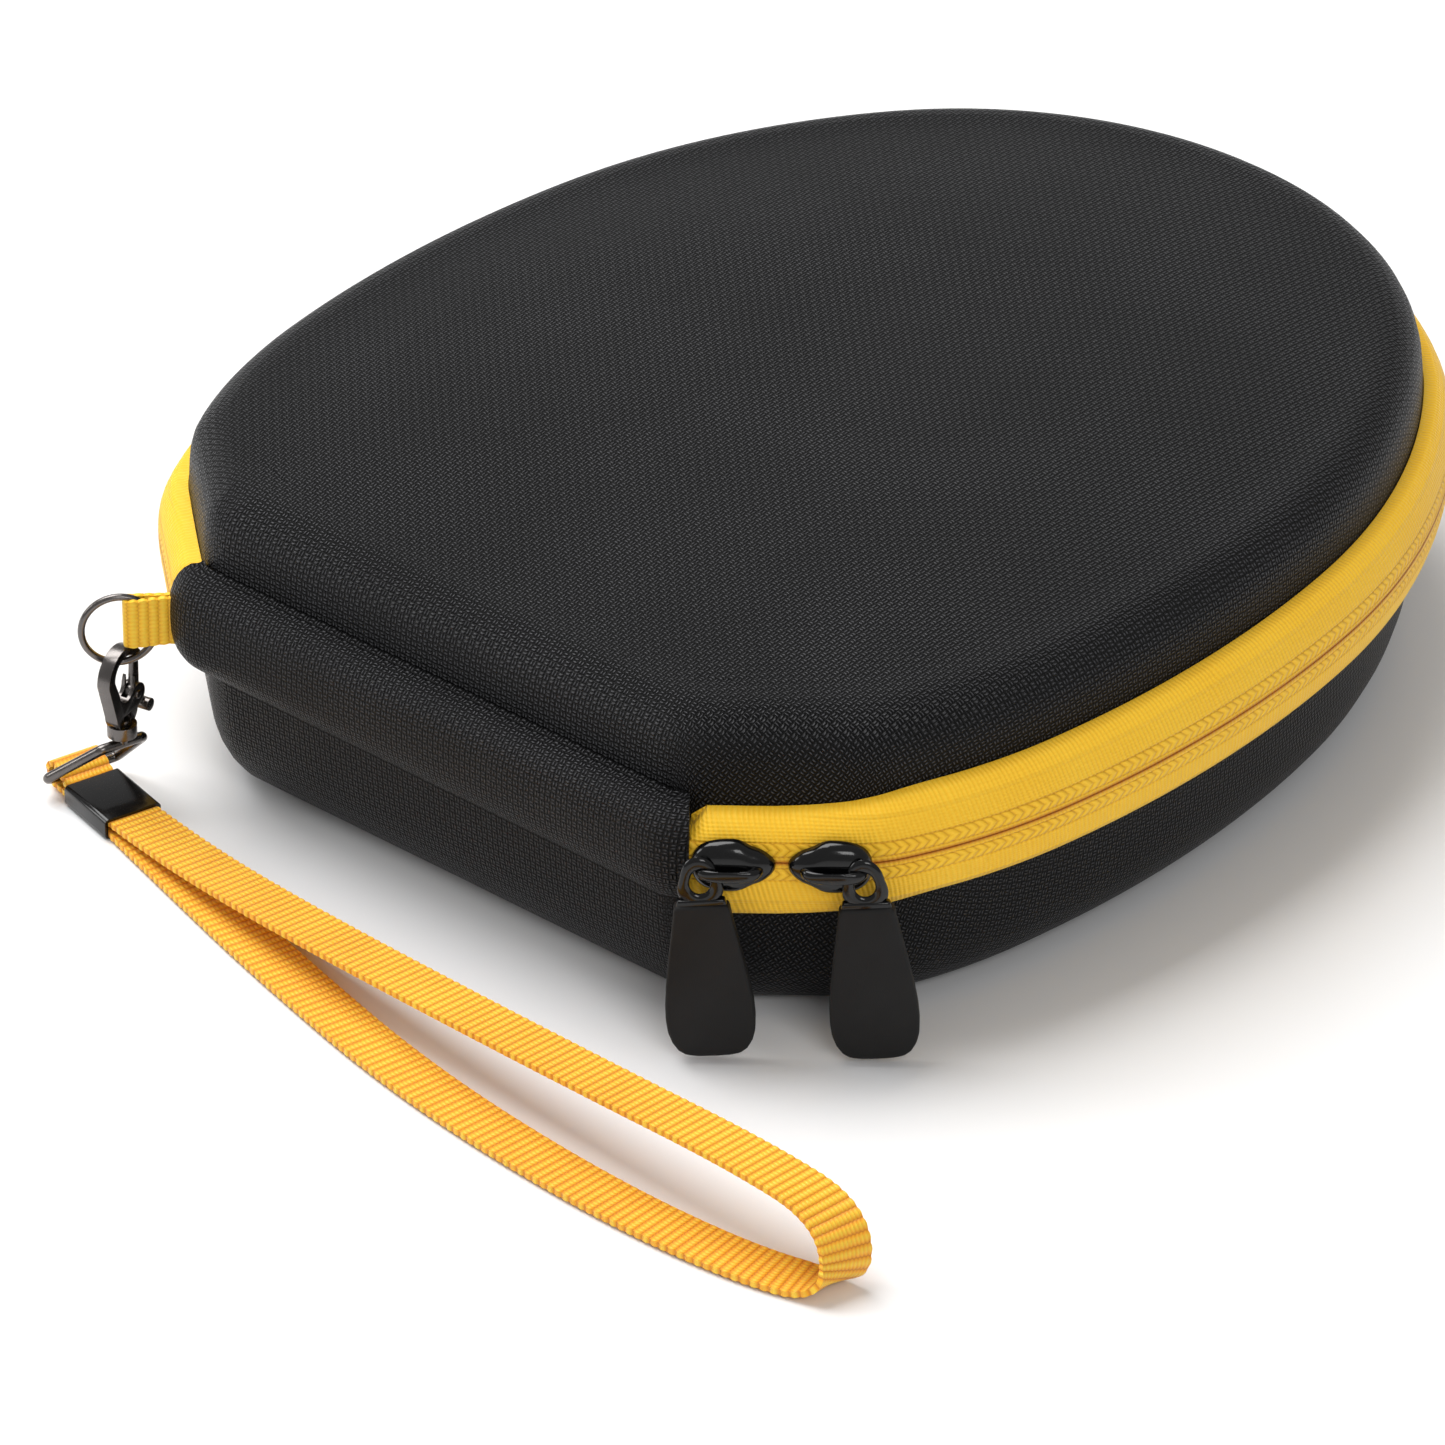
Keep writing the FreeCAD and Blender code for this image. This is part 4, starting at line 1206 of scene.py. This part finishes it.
def rubber_pull(name):
    """The rubber's outline is a circle pulled into shape, then given thickness and edges."""
    half_widths = [
        (0.0, top_half), (2.0, 4.95), (6.0, 5.6), (11.0, 6.45), (16.0, 7.2), (20.0, 7.62), (23.0, 7.7),
        (25.6, 7.5), (27.6, 6.9), (29.2, 5.9), (30.1, 4.6), (30.45, 2.6), (pull_length, 0.0)]
    heights, halves = np.array(half_widths).T
    nothing()
    bpy.ops.mesh.primitive_circle_add(vertices=96, radius=1.0, fill_type="NGON")
    plate = started(name)
    for vertex in plate.data.vertices:
        turn = math.atan2(abs(vertex.co.x), vertex.co.y) / math.pi
        side = math.copysign(1.0, vertex.co.x) if abs(vertex.co.x) > 1e-6 else 0.0
        wide = top_half * turn / top_share
        down = 0.0
        if turn >= top_share:
            down = pull_length * math.sin((turn - top_share) / (1 - top_share) * math.pi / 2)
            wide = float(np.interp(down, heights, halves))
        vertex.co = (side * wide / 1000, 0.0, -0.0062 - down / 1000)
    apply_modifier(plate, "SOLIDIFY", thickness=0.0028, offset=0.0)
    apply_modifier(plate, "BEVEL", width=0.0006, segments=3, limit_method="ANGLE",
                   angle_limit=math.radians(50))
    smooth(plate, 40)
    return plate


casting_out = -0.0003     # outwards from the seam, where a slider's plate lies on the tape
pull_out = 0.0027         # and where its pull hangs
leg = 0.0058              # from a slider's middle to the bridge's rear leg
for number, along, nose in ((1, 0.0076, 1), (2, 0.0241, -1)):
    slider = "slider_%d" % number
    casting = slider_casting(slider + "_casting", nose)
    hang(casting, along, 0.0, casting_out, 0.0)
    smooth(casting, 50)
    finish_piece(casting, slider, slider_black, "slider_black", slider + "_body")
    link = stirrup(slider + "_stirrup")
    hang(link, along, -nose * leg, pull_out)
    smooth(link, 45)
    finish_piece(link, "pull_%d" % number, slider_black, "slider_black", slider + "_link")
    pull = rubber_pull(slider + "_rubber_pull")
    hang(pull, along, -nose * leg, pull_out)
    smooth(pull, 40)
    finish_piece(pull, "pull_%d" % number, tag_rubber, "tag_rubber", slider + "_tag")

# %% [markdown]
# ## Metal parts of the strap
# Each is a softened copy of its solid.

# %% Ring, clasp, eye and ferrule
softened("tab_ring", "ring_wire", 0.0001, "ring", gunmetal, "gunmetal")
softened("clasp_body", "clasp_hook", 0.0006, "clasp", gunmetal, "gunmetal", segments=4)
softened("clasp_gate", "clasp_lever", 0.0003, "gate", gunmetal, "gunmetal")
softened("clasp_pin", "clasp_rivet", 0.0002, "clasp", gunmetal, "gunmetal")
softened("swivel_eye", "swivel_loop", 0.0002, "eye", gunmetal, "gunmetal")
softened("strap_ferrule", "ferrule_sleeve", 0.0002, "strap", ferrule_black, "ferrule_black")

# %% [markdown]
# ## Studio
# A pale floor and soft light. The main light is a large panel high on the left, so the shadows
# fall to the right; a narrow panel low on the left puts the glint on the hinge's cloth, and the
# pale surroundings fill the rest.

# %% Floor, lights and surroundings
bench = Bench("floor_pale", **{"Specular IOR Level": 0.35})
speckle = bench.noise(6.0, 3.0)
floor_paint = bench.set(
    Base_Color=bench.blend(speckle, (0.86, 0.86, 0.87), (0.90, 0.90, 0.90)),
    Roughness=0.32 + speckle * 0.1)
nothing()
bpy.ops.mesh.primitive_plane_add(size=14.0, location=(0, 0, -0.0002))
floor = started("studio_floor")
floor.data.materials.append(floor_paint)

right = Vector((0.667, -0.745, 0.0))
near = Vector((-0.745, -0.667, 0.0))


def panel(name, along, forward, height, wide, tall, power):
    place = right * along + near * forward + Vector((0, 0, height))
    bpy.ops.object.light_add(type="AREA", location=place)
    light = bpy.context.object
    light.name = name
    light.data.shape = "RECTANGLE"
    light.data.size = wide
    light.data.size_y = tall
    light.data.energy = power
    light.rotation_euler = (look_at - place).to_track_quat("-Z", "Y").to_euler()
    print("light", name, [round(c, 2) for c in place], power, "W")


panel("key_panel", -0.48, -0.38, 1.40, 1.1, 1.1, 25.0)
panel("glint_panel", -1.25, -0.10, 0.50, 0.35, 0.5, 3.0)
panel("front_panel", 0.35, 1.2, 0.9, 0.6, 0.4, 5.0)
world = bpy.data.worlds.new("pale_room")
bpy.context.scene.world = world
world.use_nodes = True
world.node_tree.nodes["Background"].inputs[0].default_value = (1.0, 1.0, 1.0, 1.0)
world.node_tree.nodes["Background"].inputs[1].default_value = 0.40
bpy.context.scene.view_settings.view_transform = "Standard"
